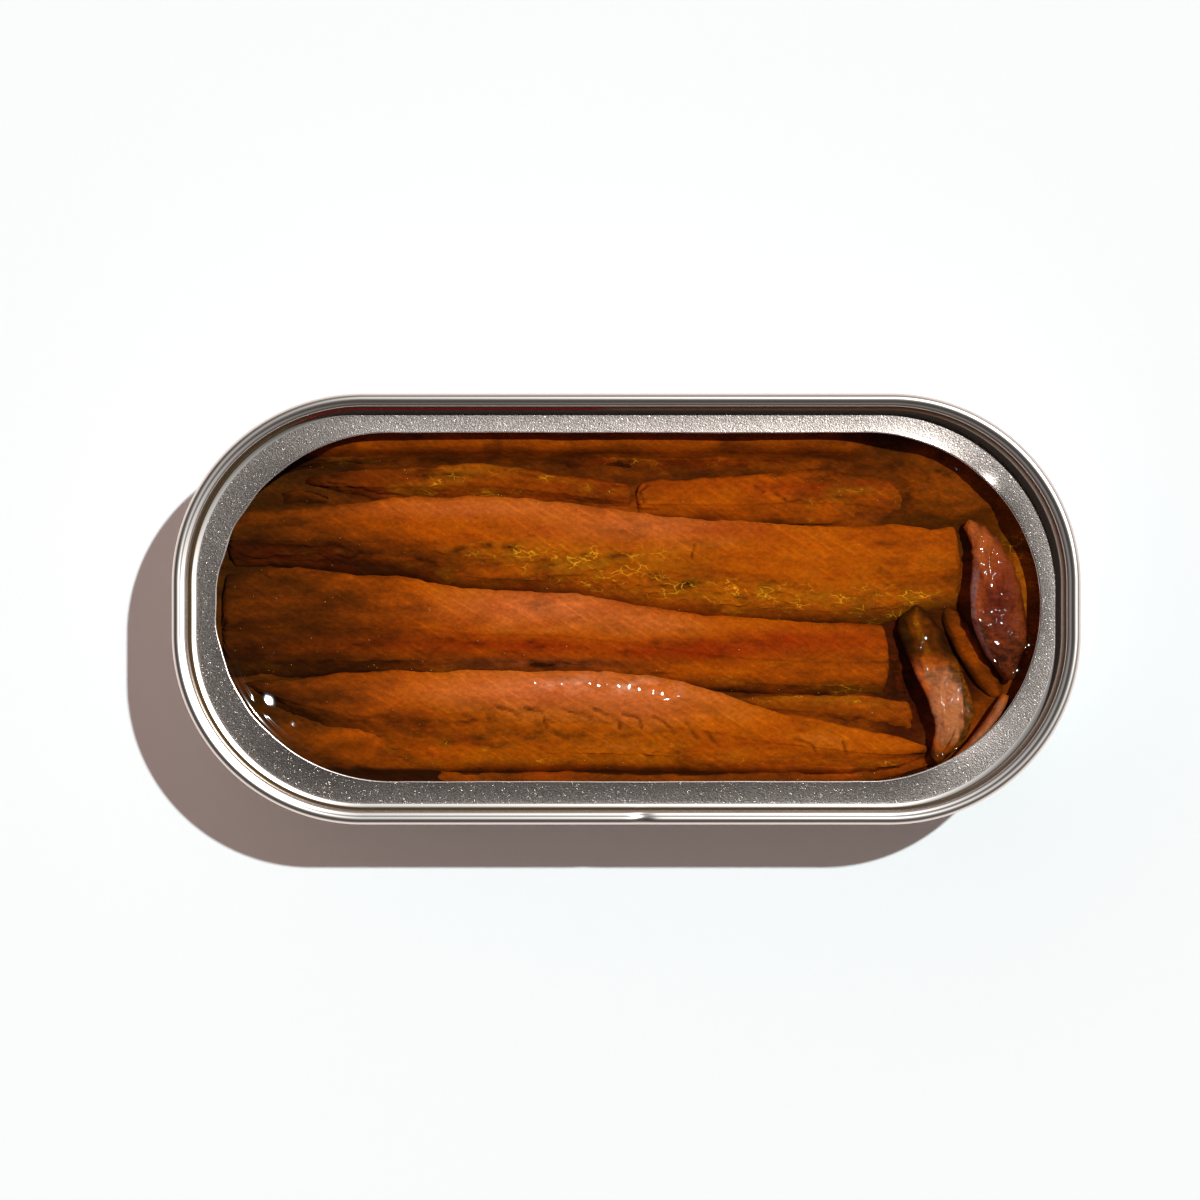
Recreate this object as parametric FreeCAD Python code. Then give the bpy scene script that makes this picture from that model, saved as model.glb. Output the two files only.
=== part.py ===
"""An opened tin of anchovies: a drawn tin with a seamed-on end whose lid has been torn away, oil, and fillets.

Millimetres, +Z up.  The origin is on the floor under the middle of the tin, +X runs along its length, and
+Y is the side where the last row of fillets lies.  The fillets are laid out in shares of the opening's
half-length and half-width, so that they fill whatever tin they lie in, and their heights are counted from
the oil's surface.
"""
import FreeCAD, Part
import math
import os

Vector = FreeCAD.Vector
UP = Vector(0, 0, 1)

# ---- The tin ----
LENGTH = 105.0          # over the seam
WIDTH = 49.8            # over the seam
HEIGHT = 20.0           # floor to the top of the seam
END_FLAT = 5.8          # straight stretch of each short side; the corners take up the rest
SHEET = 0.22            # sheet metal
SHEET_GAP = 0.08        # between the folded layers of the seam
FOLD_GAP = 0.11         # inside the fold of the tin wall's own edge
SEAM_HEIGHT = 2.8
HOOK_LENGTH = 1.9       # the tin wall's own edge, folded down inside the seam
FOLD_ROUNDNESS = 0.9    # 1 would make the fold a full half circle
CREST_ROUNDNESS = 0.9   # the same for the seam's outer cover
WALL_TAPER = 0.75       # how far the wall draws in from the seam to the floor
FLOOR_BEND = 1.2
BEAD_WIDTH = 2.4        # the flat ring that the tin stands on
PANEL_STEP = 0.6        # the floor's middle is raised above that ring
STEP_RUN = 0.6
STEP_BEND = 0.35

# ---- What is left of the torn-off end ----
COUNTERSINK = 3.3       # from the top of the seam down to the foot of its inner wall
WALL_LEAN = 1.05        # how far that wall leans in
FOOT_BEND = 0.5
RING_SLOPE = 3.0        # degrees, rising toward the opening
RING_AT_SIDE = 2.45     # width of the ring that stays at the long sides
RING_AT_END = 2.55      # and at the short ones
OPENING_SHIFT = (0.22, 0.23)

# ---- Oil and fillets ----
OIL_BELOW_RING = 2.0    # the oil's surface under the ring
OIL_WALL_GAP = 0.05     # oil to sheet metal
OIL_GAP = 0.12          # oil to fillets
PIECE_GAP = 0.30        # fillet to fillet
FILLET_DEPTH = 4.6
STRIP_DEPTH = 3.2       # of the two narrow strips
LOBE_DEPTH = 2.6
FILLET_LEAN = 0.5       # each fillet's underside slides this share of its depth under the next one
FAR_DROP = 0.7          # a fillet's top falls this far to its far edge
NEAR_DROP = 1.5         # and this far to the edge that the next fillet covers
END_ROUND = 4.0         # the stretch over which a fillet's end rounds off
BLUNT = 0.22            # what is left of the section at the very end
STATION_STEP = 3.5      # cuts along a fillet
ROUNDING = (0.0, 0.06, 0.22, 0.5, 0.8)      # cuts within a rounded end
CROWN_AT = 0.3          # a fillet is highest at this share of its way across
POLES_ACROSS = (0.03, 0.14, 0.3, 0.5, 0.7, 0.86, 0.97)
POLES_DOWN = (0.25, 0.6, 0.9)
POLES_UNDER = (0.15, 0.5, 0.85)
POLES_ROUND = 12        # in a cut across a winding piece
POLE_REACH = 1.12       # its poles lie this much outside the surface that they draw

# ---- Worked out from the sizes above ----
seam_thickness = 4 * SHEET + 2 * SHEET_GAP + FOLD_GAP
corner = (WIDTH - END_FLAT) / 2
corner_x = LENGTH / 2 - corner
corner_y = WIDTH / 2 - corner
end_wall_inset = SHEET / 2
hook_inset = SHEET + SHEET_GAP + SHEET / 2
inner_wall_inset = seam_thickness - SHEET / 2
wall_inset = inner_wall_inset - SHEET - SHEET_GAP
wall_foot_inset = wall_inset + WALL_TAPER
foot_inset = seam_thickness + WALL_LEAN
foot_z = HEIGHT - COUNTERSINK
half_opening = LENGTH / 2 - foot_inset - RING_AT_END
opening_radius = WIDTH / 2 - foot_inset - RING_AT_SIDE
opening_mid = Vector(OPENING_SHIFT[0], OPENING_SHIFT[1], 0)
oil_z = foot_z - SHEET - OIL_BELOW_RING
panel_inset = wall_foot_inset + FLOOR_BEND + BEAD_WIDTH + STEP_RUN + SHEET


# ---- Sheet metal, bent to a profile and carried round the tin ----
def side_step(first, last):
    """The unit vector to the left of a run."""
    length = math.hypot(last[0] - first[0], last[1] - first[1])
    return (-(last[1] - first[1]) / length, (last[0] - first[0]) / length)


def meet(one, one_way, other, other_way):
    """Where two lines cross, each given by a point and a direction."""
    cross = one_way[0] * other_way[1] - one_way[1] * other_way[0]
    gap = (other[0] - one[0], other[1] - one[1])
    along = (gap[0] * other_way[1] - gap[1] * other_way[0]) / cross
    return (one[0] + along * one_way[0], one[1] + along * one_way[1])


def shifted_path(path, shift):
    """The path moved to its left by the shift, corner by corner."""
    lefts = [side_step(a, b) for a, b in zip(path, path[1:])]
    moved = [(path[0][0] + shift * lefts[0][0], path[0][1] + shift * lefts[0][1])]
    for here, before, after in zip(path[1:-1], lefts, lefts[1:]):
        one = (here[0] + shift * before[0], here[1] + shift * before[1])
        other = (here[0] + shift * after[0], here[1] + shift * after[1])
        moved.append(meet(one, (before[1], -before[0]), other, (after[1], -after[0])))
    moved.append((path[-1][0] + shift * lefts[-1][0], path[-1][1] + shift * lefts[-1][1]))
    return moved


def at(point):
    """A profile point (inset from the seam's outside, height) in the plane through a corner's axis."""
    return Vector(corner - point[0], 0, point[1])


def bent_edges(path, bends):
    """Lines along the path with an arc of the given radius at each corner."""
    edges = []
    start = Vector(*path[0], 0)
    for before, here, after, radius in zip(path, path[1:], path[2:], bends):
        knee = Vector(*here, 0)
        back = (Vector(*before, 0) - knee).normalize()
        ahead = (Vector(*after, 0) - knee).normalize()
        half_turn = (math.pi - back.getAngle(ahead)) / 2
        reach = radius * math.tan(half_turn)
        enter = knee + back * reach
        leave = knee + ahead * reach
        bisector = (back + ahead).normalize()
        crown = knee + bisector * (radius / math.cos(half_turn) - radius)
        edges.append(Part.LineSegment(at(start), at(enter)).toShape())
        edges.append(Part.Arc(at(enter), at(crown), at(leave)).toShape())
        start = leave
    edges.append(Part.LineSegment(at(start), at(path[-1])).toShape())
    return edges


def sheet_face(path, bends):
    """The cut through a sheet whose middle follows the path."""
    turns = []
    for a, b, c in zip(path, path[1:], path[2:]):
        turns.append((b[0] - a[0]) * (c[1] - b[1]) - (b[1] - a[1]) * (c[0] - b[0]))
    edges = []
    ends = []
    for side in (1, -1):
        line = shifted_path(path, side * SHEET / 2)
        radii = [r - math.copysign(SHEET / 2, side * turn) for r, turn in zip(bends, turns)]
        edges += bent_edges(line, radii)
        ends.append((at(line[0]), at(line[-1])))
    edges.append(Part.LineSegment(ends[0][0], ends[1][0]).toShape())
    edges.append(Part.LineSegment(ends[0][1], ends[1][1]).toShape())
    return Part.Face(Part.Wire(Part.__sortEdges__(edges)))


def corner_axis(quarter):
    signs = ((1, 1), (-1, 1), (-1, -1), (1, -1))[quarter % 4]
    return Vector(signs[0] * corner_x, signs[1] * corner_y, 0)


def carried_round(face):
    """The profile revolved about the four corners and run along the four sides between them."""
    lengths = []
    for quarter in range(4):
        centre = corner_axis(quarter)
        turned = face.copy()
        turned.rotate(Vector(0, 0, 0), UP, 90 * quarter)
        turned.translate(centre)
        lengths.append(turned.revolve(centre, UP, 90))
        straight = face.copy()
        straight.rotate(Vector(0, 0, 0), UP, 90 * (quarter + 1))
        straight.translate(centre)
        lengths.append(straight.extrude(corner_axis(quarter + 1) - centre))
    return lengths


def rounded_plate(inset, bottom, top):
    """A flat plate inside the seam's outline, drawn in by the inset."""
    arcs = []
    radius = corner - inset
    for quarter in range(4):
        circle = Part.Circle(corner_axis(quarter) + UP * bottom, UP, radius)
        start = math.radians(90 * quarter)
        arcs.append(Part.Arc(circle, start, start + math.pi / 2).toShape())
    edges = []
    for arc, following in zip(arcs, arcs[1:] + arcs[:1]):
        edges.append(arc)
        gap = Part.LineSegment(arc.Vertexes[-1].Point, following.Vertexes[0].Point)
        edges.append(gap.toShape())
    face = Part.Face(Part.Wire(edges))
    return face.extrude(UP * (top - bottom))


def joined(solids):
    return solids[0].multiFuse(solids[1:]).removeSplitter()


def tin_body():
    """Floor with its raised panel, tapered wall, and the wall's edge folded outward for the seam."""
    panel_z = PANEL_STEP + SHEET / 2
    bead_z = SHEET / 2
    fold_z = HEIGHT - SHEET - SHEET_GAP - SHEET / 2
    step_inset = wall_foot_inset + FLOOR_BEND + BEAD_WIDTH
    path = [
        (panel_inset, panel_z),
        (step_inset + STEP_RUN / 2, panel_z),
        (step_inset - STEP_RUN / 2, bead_z),
        (wall_foot_inset, bead_z),
        (wall_inset, fold_z),
        (hook_inset, fold_z),
        (hook_inset, fold_z - HOOK_LENGTH),
    ]
    fold = (wall_inset - hook_inset) / 2 * FOLD_ROUNDNESS
    rim = carried_round(sheet_face(path, [STEP_BEND, STEP_BEND, FLOOR_BEND, fold, fold]))
    return joined(rim + [rounded_plate(panel_inset, PANEL_STEP, PANEL_STEP + SHEET)])


def ring_reach():
    """How far in from the seam's outside the opening comes, where a corner leaves the ring widest."""
    apart = math.hypot(corner_x - half_opening + opening_radius, corner_y)
    shift = math.hypot(*OPENING_SHIFT)
    return corner - opening_radius + apart + 2 * shift


def opening_hole(bottom, top):
    """The lid's place: a slot with half-round ends."""
    arm = Vector(half_opening - opening_radius, 0, 0)
    side = Vector(0, opening_radius, 0)
    tip = Vector(half_opening, 0, 0)
    mid = opening_mid + UP * bottom
    edges = [
        Part.Arc(mid + arm - side, mid + tip, mid + arm + side).toShape(),
        Part.LineSegment(mid + arm + side, mid - arm + side).toShape(),
        Part.Arc(mid - arm + side, mid - tip, mid - arm - side).toShape(),
        Part.LineSegment(mid - arm - side, mid + arm - side).toShape(),
    ]
    return Part.Face(Part.Wire(edges)).extrude(UP * (top - bottom))


def end_ring():
    """The seam's outer cover, its inner wall, and the narrow ring left round the torn-out lid."""
    lip_z = HEIGHT - SEAM_HEIGHT + SHEET / 2
    crest_z = HEIGHT - SHEET / 2
    ring_z = foot_z - SHEET / 2
    reach = ring_reach()
    rise = (reach - foot_inset) * math.tan(math.radians(RING_SLOPE))
    path = [
        (hook_inset + SHEET / 2, lip_z),
        (end_wall_inset, lip_z),
        (end_wall_inset, crest_z),
        (inner_wall_inset, crest_z),
        (foot_inset, ring_z),
        (reach, ring_z + rise),
    ]
    crest = (inner_wall_inset - end_wall_inset) / 2 * CREST_ROUNDNESS
    ring = joined(carried_round(sheet_face(path, [SHEET, crest, crest, FOOT_BEND])))
    return ring.cut(opening_hole(foot_z - SEAM_HEIGHT, HEIGHT))


# ---- Fillets ----
def smooth(knots, share):
    """A gentle curve through hand-set (place, value) knots, level at both ends."""
    if share <= knots[0][0]:
        return knots[0][1]
    if share >= knots[-1][0]:
        return knots[-1][1]
    last = len(knots) - 1
    slopes = [0.0] * (last + 1)
    for i in range(1, last):
        slopes[i] = (knots[i + 1][1] - knots[i - 1][1]) / (knots[i + 1][0] - knots[i - 1][0])
    for i in range(last):
        (start, low), (end, high) = knots[i], knots[i + 1]
        if share <= end:
            run = end - start
            t = (share - start) / run
            flat = low * (1 + 2 * t) * (1 - t) ** 2 + high * t * t * (3 - 2 * t)
            return flat + run * (slopes[i] * t * (1 - t) ** 2 - slopes[i + 1] * t * t * (1 - t))


def along(share):
    return opening_mid.x + share * half_opening


def across(share):
    return opening_mid.y + share * opening_radius


def middle_of(poles):
    total = Vector(0, 0, 0)
    for pole in poles:
        total += pole
    return total * (1 / len(poles))


def skinned(sections):
    """A solid whose smooth skin follows the cuts, each a ring of as many poles, with flat faces at both ends."""
    middles = [middle_of(poles) for poles in sections]
    places = [0.0]
    for here, following in zip(middles, middles[1:]):
        places.append(places[-1] + here.distanceToPoint(following))
    knots = [0.0]
    for trio in zip(places[1:-3], places[2:-2], places[3:-1]):
        knots.append(sum(trio) / 3)
    knots.append(places[-1])
    around = len(sections[0])
    skin = Part.BSplineSurface()
    skin.buildFromPolesMultsKnots(
        sections, [4] + [1] * (len(knots) - 2) + [4], [1] * (around + 1),
        knots, list(range(around + 1)), False, True, 3, 3,
    )
    faces = [skin.toShape()]
    for end in (skin.uIso(knots[0]), skin.uIso(knots[-1])):
        faces.append(Part.Face(Part.Wire([end.toShape()])))
    shell = Part.makeShell(faces)
    shell.sewShape()
    solid = Part.Solid(shell)
    if solid.Volume < 0:
        solid.reverse()
    return solid


def shrunk(poles, share):
    """The section drawn toward its own middle."""
    middle = middle_of(poles)
    return [middle + (pole - middle) * share for pole in poles]


def side_y(edge, share, z):
    """Where the leaning gap along an edge line lies at a height; the line itself is drawn at its own level."""
    level, line = edge
    return across(smooth(line, share)) - FILLET_LEAN * (oil_z + level - z)


def row_poles(x, far, near, crest, depth, gap):
    """One cut across a fillet: a crowned top, and sides that lean in under the next fillet."""
    share = (x - opening_mid.x) / half_opening
    bottom = crest - depth
    far_top = crest - FAR_DROP
    near_top = crest - NEAR_DROP

    def far_y(z):
        return side_y(far, share, z) - gap / 2

    def near_y(z):
        return side_y(near, share, z) + gap / 2

    poles = []
    for part in POLES_ACROSS:
        if part < CROWN_AT:
            top = crest - FAR_DROP * (1 - part / CROWN_AT) ** 2
        else:
            top = crest - NEAR_DROP * ((part - CROWN_AT) / (1 - CROWN_AT)) ** 2
        poles.append(Vector(x, far_y(far_top) + (near_y(near_top) - far_y(far_top)) * part, top))
    for part in POLES_DOWN:
        z = near_top + (bottom - near_top) * part
        poles.append(Vector(x, near_y(z), z))
    for part in reversed(POLES_UNDER):
        poles.append(Vector(x, far_y(bottom) + (near_y(bottom) - far_y(bottom)) * part, bottom))
    for part in reversed(POLES_DOWN):
        z = far_top + (bottom - far_top) * part
        poles.append(Vector(x, far_y(z), z))
    return poles


def stations(start, end):
    """Places along a fillet, close together at its rounded ends, each with its share of the full section."""
    rounded = min(END_ROUND, (end - start) / 3)
    places = []
    for share in ROUNDING:
        size = max(BLUNT, math.sqrt(1 - (1 - share) ** 2))
        places.append((start + rounded * share, size))
        places.append((end - rounded * share, size))
    steps = math.ceil(LENGTH / STATION_STEP)
    for i in range(-steps, steps + 1):
        x = opening_mid.x + i * STATION_STEP
        if start + rounded <= x <= end - rounded:
            places.append((x, 1.0))
    return sorted(places)


def row_fillet(ends, far, near, crest, grow, depth=FILLET_DEPTH):
    """A fillet that lies along the tin between two edges, its top at a height that may vary."""
    sections = []
    for x, size in stations(along(ends[0]) - grow, along(ends[1]) + grow):
        share = (x - opening_mid.x) / half_opening
        top = oil_z + smooth(crest, share) + grow
        poles = row_poles(x, far, near, top, depth + 2 * grow, PIECE_GAP - 2 * grow)
        sections.append(shrunk(poles, size))
    return skinned(sections)


def strand(knots, grow):
    """A piece that winds.

    Each knot gives the middle's place and height, the half-width as a share of the opening's half-width,
    the half-thickness, and the roll in degrees.
    """
    middles = [Vector(along(k[0]), across(k[1]), oil_z + k[2]) for k in knots]
    sections = []
    for i, knot in enumerate(knots):
        before = middles[max(i - 1, 0)]
        after = middles[min(i + 1, len(middles) - 1)]
        heading = after - before
        heading.z = 0
        heading.normalize()
        sideways = UP.cross(heading)
        middle = middles[i]
        if i == 0:
            middle = middle - heading * grow
        if i == len(knots) - 1:
            middle = middle + heading * grow
        roll = math.radians(knot[5])
        broad = sideways * math.cos(roll) + UP * math.sin(roll)
        thick = UP * math.cos(roll) - sideways * math.sin(roll)
        half_width = (knot[3] * opening_radius + grow) * POLE_REACH
        half_thickness = (knot[4] + grow) * POLE_REACH
        poles = []
        for step in range(POLES_ROUND):
            angle = 2 * math.pi * step / POLES_ROUND
            out = broad * math.cos(angle) * half_width + thick * math.sin(angle) * half_thickness
            poles.append(middle + out)
        sections.append(poles)
    return skinned(sections)


# Edges between the rows, far to near: the level at which each is drawn, counted from the oil's surface, and
# its line as (share of half-length, share of half-width) knots.
far_side = (-2.8, [(-0.90, 0.90), (-0.70, 1.02), (0.55, 1.02), (0.80, 0.80)])
back_edge = (-2.0, [(-0.80, 0.80), (-0.50, 0.84), (-0.30, 0.83), (0.0, 0.74), (0.26, 0.77), (0.53, 0.81),
                    (0.70, 0.74), (0.80, 0.63), (0.88, 0.50)])
lobe_edge = (-2.4, [(-0.87, 0.68), (-0.80, 0.715), (-0.72, 0.685)])
upper_edge = (-1.1, [(-0.90, 0.60), (-0.50, 0.66), (-0.17, 0.63), (0.05, 0.565), (0.40, 0.50), (0.78, 0.50),
                     (0.88, 0.38)])
forked_edge = (-1.1, [(-0.80, 0.75), (-0.70, 0.705), (-0.58, 0.66)] + upper_edge[1][1:])
middle_edge = (-1.0, [(-0.98, 0.12), (-0.90, 0.28), (-0.77, 0.27), (-0.64, 0.215), (-0.52, 0.21),
                      (-0.40, 0.135), (-0.15, 0.10), (0.06, 0.02), (0.32, -0.045), (0.64, -0.05),
                      (0.82, 0.06)])
lower_edge = (-1.0, [(-0.96, -0.36), (-0.85, -0.38), (-0.70, -0.34), (-0.15, -0.36), (0.08, -0.40),
                     (0.22, -0.47), (0.33, -0.56), (0.47, -0.62), (0.74, -0.735)])
parted_edge = (-1.0, lower_edge[1][:5] + [(0.27, -0.45), (0.64, -0.46)])
front_edge = (-2.2, [(-0.95, -0.45), (-0.72, -0.78), (-0.50, -0.91), (-0.30, -0.925), (0.60, -0.925),
                     (0.76, -0.84)])
near_side = (-2.4, [(-0.56, -0.99), (-0.40, -1.02), (0.60, -1.02), (0.78, -0.90)])


def back_strip(grow=0.0):
    return row_fillet((-0.86, 0.80), far_side, back_edge, [(-0.8, -2.6), (0.0, -2.1), (0.8, -2.6)], grow)


def left_lobe(grow=0.0):
    """A short end lump that shows beside the second row's forked tip."""
    return row_fillet((-0.87, -0.715), lobe_edge, upper_edge, [(-0.87, -2.6), (-0.78, -1.9), (-0.72, -2.4)],
                      grow, LOBE_DEPTH)


def second_row_left(grow=0.0):
    return row_fillet((-0.80, 0.015), back_edge, forked_edge, [(-0.8, -1.9), (-0.4, -1.2), (0.0, -1.5)], grow)


def second_row_right(grow=0.0):
    return row_fillet((0.028, 0.87), back_edge, upper_edge, [(0.03, -1.3), (0.4, -1.1), (0.88, -2.6)], grow)


def upper_fillet(grow=0.0):
    crest = [(-0.9, -1.1), (-0.5, -0.35), (0.1, -0.25), (0.5, -0.7), (0.8, -1.0)]
    return row_fillet((-0.93, 0.815), upper_edge, middle_edge, crest, grow)


def middle_fillet(grow=0.0):
    crest = [(-0.95, -1.5), (-0.5, -0.7), (-0.2, 0.05), (0.2, -0.3), (0.64, -0.8)]
    return row_fillet((-0.975, 0.64), middle_edge, parted_edge, crest, grow)


def low_strip(grow=0.0):
    """A fillet of the layer below, which shows where the two in front of it part."""
    crest = [(0.2, -2.6), (0.45, -1.9), (0.70, -2.2)]
    return row_fillet((0.24, 0.70), parted_edge, lower_edge, crest, grow, STRIP_DEPTH)


def lower_fillet(grow=0.0):
    crest = [(-0.95, -1.6), (-0.45, -0.1), (-0.05, 0.45), (0.2, 0.05), (0.5, -0.6), (0.74, -1.0)]
    return row_fillet((-0.96, 0.745), lower_edge, front_edge, crest, grow)


def front_strip(grow=0.0):
    return row_fillet((-0.56, 0.78), front_edge, near_side, [(-0.5, -2.2), (0.7, -1.8)], grow, STRIP_DEPTH)


def twisted_end(grow=0.0):
    """A fillet's end that stands on edge: sunk where it starts, and clear of the oil from its middle on."""
    knots = [
        (0.683, -0.03, -1.6, 0.054, 0.5, 10),
        (0.690, -0.05, -1.6, 0.089, 0.9, 10),
        (0.712, -0.14, -1.5, 0.109, 1.2, 8),
        (0.742, -0.30, -1.1, 0.114, 1.4, 0),
        (0.775, -0.46, -0.3, 0.114, 1.4, -8),
        (0.797, -0.60, 0.1, 0.119, 1.3, -12),
        (0.792, -0.72, 0.0, 0.094, 1.2, -10),
        (0.770, -0.81, -0.4, 0.059, 0.9, 0),
        (0.748, -0.88, -1.0, 0.035, 0.6, 0),
    ]
    return strand(knots, grow)


def thin_strand(grow=0.0):
    knots = [
        (0.765, -0.01, -2.9, 0.020, 0.4, 0),
        (0.778, -0.07, -2.7, 0.040, 0.8, 0),
        (0.803, -0.18, -2.5, 0.040, 0.9, 0),
        (0.838, -0.33, -2.4, 0.040, 0.9, 0),
        (0.870, -0.44, -2.4, 0.044, 0.9, 0),
        (0.883, -0.52, -2.6, 0.020, 0.5, 0),
    ]
    return strand(knots, grow)


def edge_flap(grow=0.0):
    """A thin flap of skin that stands on edge along the opening."""
    knots = [
        (0.920, -0.505, -0.7, 0.015, 0.6, 0),
        (0.914, -0.550, -0.5, 0.022, 1.5, 0),
        (0.890, -0.650, -0.4, 0.025, 1.7, 0),
        (0.855, -0.755, -0.5, 0.022, 1.6, 0),
        (0.820, -0.835, -0.8, 0.017, 1.2, 0),
        (0.800, -0.870, -1.1, 0.010, 0.6, 0),
    ]
    return strand(knots, grow)


def dark_leaf(grow=0.0):
    """A leaf-shaped belly piece lying across the fillets' ends, mostly above the oil."""
    knots = [
        (0.826, 0.475, -1.1, 0.025, 0.3, 0),
        (0.845, 0.450, -0.8, 0.044, 0.7, -5),
        (0.872, 0.375, -0.3, 0.069, 1.1, -10),
        (0.886, 0.250, 0.0, 0.104, 1.4, -15),
        (0.896, 0.100, 0.1, 0.143, 1.5, -15),
        (0.903, -0.040, 0.0, 0.158, 1.5, -15),
        (0.914, -0.180, -0.1, 0.138, 1.4, -12),
        (0.923, -0.300, -0.3, 0.089, 1.1, -10),
        (0.929, -0.380, -0.6, 0.044, 0.7, 0),
        (0.931, -0.420, -0.9, 0.020, 0.3, 0),
    ]
    return strand(knots, grow)


PIECES = {
    "back_strip": back_strip,
    "left_lobe": left_lobe,
    "second_row_left": second_row_left,
    "second_row_right": second_row_right,
    "upper_fillet": upper_fillet,
    "middle_fillet": middle_fillet,
    "low_strip": low_strip,
    "lower_fillet": lower_fillet,
    "front_strip": front_strip,
    "twisted_end": twisted_end,
    "thin_strand": thin_strand,
    "edge_flap": edge_flap,
    "dark_leaf": dark_leaf,
}


def oil():
    """Oil up to its level, cut round every fillet."""
    clear = SHEET / 2 + OIL_WALL_GAP
    top_inset = wall_foot_inset + (wall_inset - wall_foot_inset) * oil_z / HEIGHT + clear
    low = SHEET + OIL_WALL_GAP
    floor = PANEL_STEP + SHEET + OIL_WALL_GAP
    step_inset = wall_foot_inset + FLOOR_BEND + BEAD_WIDTH
    path = [
        (top_inset, oil_z),
        (wall_foot_inset + clear, low + FLOOR_BEND),
        (wall_foot_inset + clear + FLOOR_BEND, low),
        (step_inset - STEP_RUN / 2 - clear, low),
        (step_inset - STEP_RUN / 2, floor),
        (panel_inset, floor),
        (panel_inset, oil_z),
    ]
    outline = Part.makePolygon([at(point) for point in path + path[:1]])
    pool = joined(carried_round(Part.Face(outline)) + [rounded_plate(panel_inset, floor, oil_z)])
    return pool.cut([make(OIL_GAP) for make in PIECES.values()])


def main():
    os.makedirs("parts", exist_ok=True)
    nodes = {"tin_body": tin_body, "end_ring": end_ring, "oil": oil}
    nodes.update(PIECES)
    for name, make in nodes.items():
        shape = make()
        shape.exportStep("parts/" + name + ".step")
        print(name, shape.ShapeType, len(shape.Solids), shape.isValid(), round(shape.Volume, 1), shape.BoundBox)


main()
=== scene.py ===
"""An opened tin of anchovies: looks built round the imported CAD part.

Sizes are in millimetres until a mesh is made, then metres.  Places on the contents are given in shares of the
torn opening's half-length and half-width, u to the right and v to the back, as the fillets are laid out.
"""

import math

import bpy
import numpy as np
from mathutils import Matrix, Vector
from mathutils.bvhtree import BVHTree


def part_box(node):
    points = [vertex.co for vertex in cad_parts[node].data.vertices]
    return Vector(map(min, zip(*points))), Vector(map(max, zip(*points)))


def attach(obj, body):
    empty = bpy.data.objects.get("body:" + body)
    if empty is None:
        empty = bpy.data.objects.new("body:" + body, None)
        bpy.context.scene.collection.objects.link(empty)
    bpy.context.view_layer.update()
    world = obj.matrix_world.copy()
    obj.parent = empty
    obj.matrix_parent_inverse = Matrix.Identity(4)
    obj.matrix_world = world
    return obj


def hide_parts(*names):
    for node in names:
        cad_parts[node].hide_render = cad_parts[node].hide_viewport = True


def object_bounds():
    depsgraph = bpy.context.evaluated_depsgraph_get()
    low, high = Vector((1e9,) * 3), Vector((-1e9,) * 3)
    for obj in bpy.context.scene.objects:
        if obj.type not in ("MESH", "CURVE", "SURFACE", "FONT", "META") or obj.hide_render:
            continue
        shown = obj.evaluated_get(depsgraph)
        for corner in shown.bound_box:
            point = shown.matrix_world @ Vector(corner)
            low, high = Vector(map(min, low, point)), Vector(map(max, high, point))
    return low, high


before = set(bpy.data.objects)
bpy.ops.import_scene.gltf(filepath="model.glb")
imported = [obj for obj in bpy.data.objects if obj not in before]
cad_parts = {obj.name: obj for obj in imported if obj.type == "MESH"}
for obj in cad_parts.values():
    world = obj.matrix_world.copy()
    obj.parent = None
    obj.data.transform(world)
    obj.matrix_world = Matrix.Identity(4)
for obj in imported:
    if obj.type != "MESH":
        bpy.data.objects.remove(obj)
cad_low, cad_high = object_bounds()

MM = 0.001

# ---- Tin, in mm ----
SHEET = 0.22                # sheet metal
SEAM_THICKNESS = 1.15       # the rolled seam, outside to inside
SEAM_HEIGHT = 2.8
COUNTERSINK = 3.3           # top of the seam to the foot of its inner wall
WALL_LEAN = 1.05            # how far that wall leans in
LEAN_AT_RIGHT = 0.45        # and how much further at the right-hand end
LEAN_AT_LEFT = 0.34
RING_SLOPE = math.radians(3.0)
RING_WIDTH = 2.5            # left of the end round the opening
OPENING_SHIFT = (0.22, 0.23)
CORNER_FLAT = 5.8           # straight stretch of each short side
CUT_ROUND = 0.09            # the torn edge is slightly rolled
CREST_RADIUS = 0.87         # the seam's rounded top
FOOT_RADIUS = 1.8           # where the inner wall bends into the flat ring
SEAM_ROUND = 272            # the way round the seam
RING_POINTS = 840           # in a row round the ring
RING_STEPS = 18             # rows across its flat part
RING_RIPPLE = 0.012         # which isn't quite flat
CUT_WAVER = 0.03            # the cut edge strays this far
EDGE_BEND = 0.07            # and further where it is bent, at the left

# ---- Contents, in mm ----
MESH_STEP = 0.21            # between points on a fillet
POOL_STEP = 0.32            # between points on the oil
EDGE_STEP = 0.17            # closer where it climbs
FINE_STEP = 0.18            # and where the wet film glints
BED_STEP = 0.8              # between rows of points on the flesh below
FIBRE_SPACING = 0.8         # muscle fibres
FIBRE_SLANT = math.radians(-32)
FIBRE_RELIEF = 0.035
CRACK_WIDTH = 0.15
CRACK_DEPTH = 0.12
CRACK_LIP = 0.07            # flesh beside a crack stands up
MENISCUS = 2.3              # how far in the oil's surface curves down from an edge
FILM = 0.07                 # wet film on flesh that stands out of the oil
WET_FROM = 0.5              # flesh shines from this far above the oil's level
BED_DEPTH = 2.3             # the layer of flesh below, dim through the oil
CLOSE_UP = 0.55             # a fillet's near edge tucks this far under the next one
BLUNT_REACH = 3.6           # a torn end keeps its full width to here
END_ROUND = 0.8             # and is rounded over its last stretch
EDGE_CLIMB = 0.25           # the oil climbs this much at the opening's edge, and more at the left
FLESH_CLIMB = 0.45          # and this much at flesh that stands out
OIL_UNDER_RING = 0.30       # but it stays this far below the ring
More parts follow.
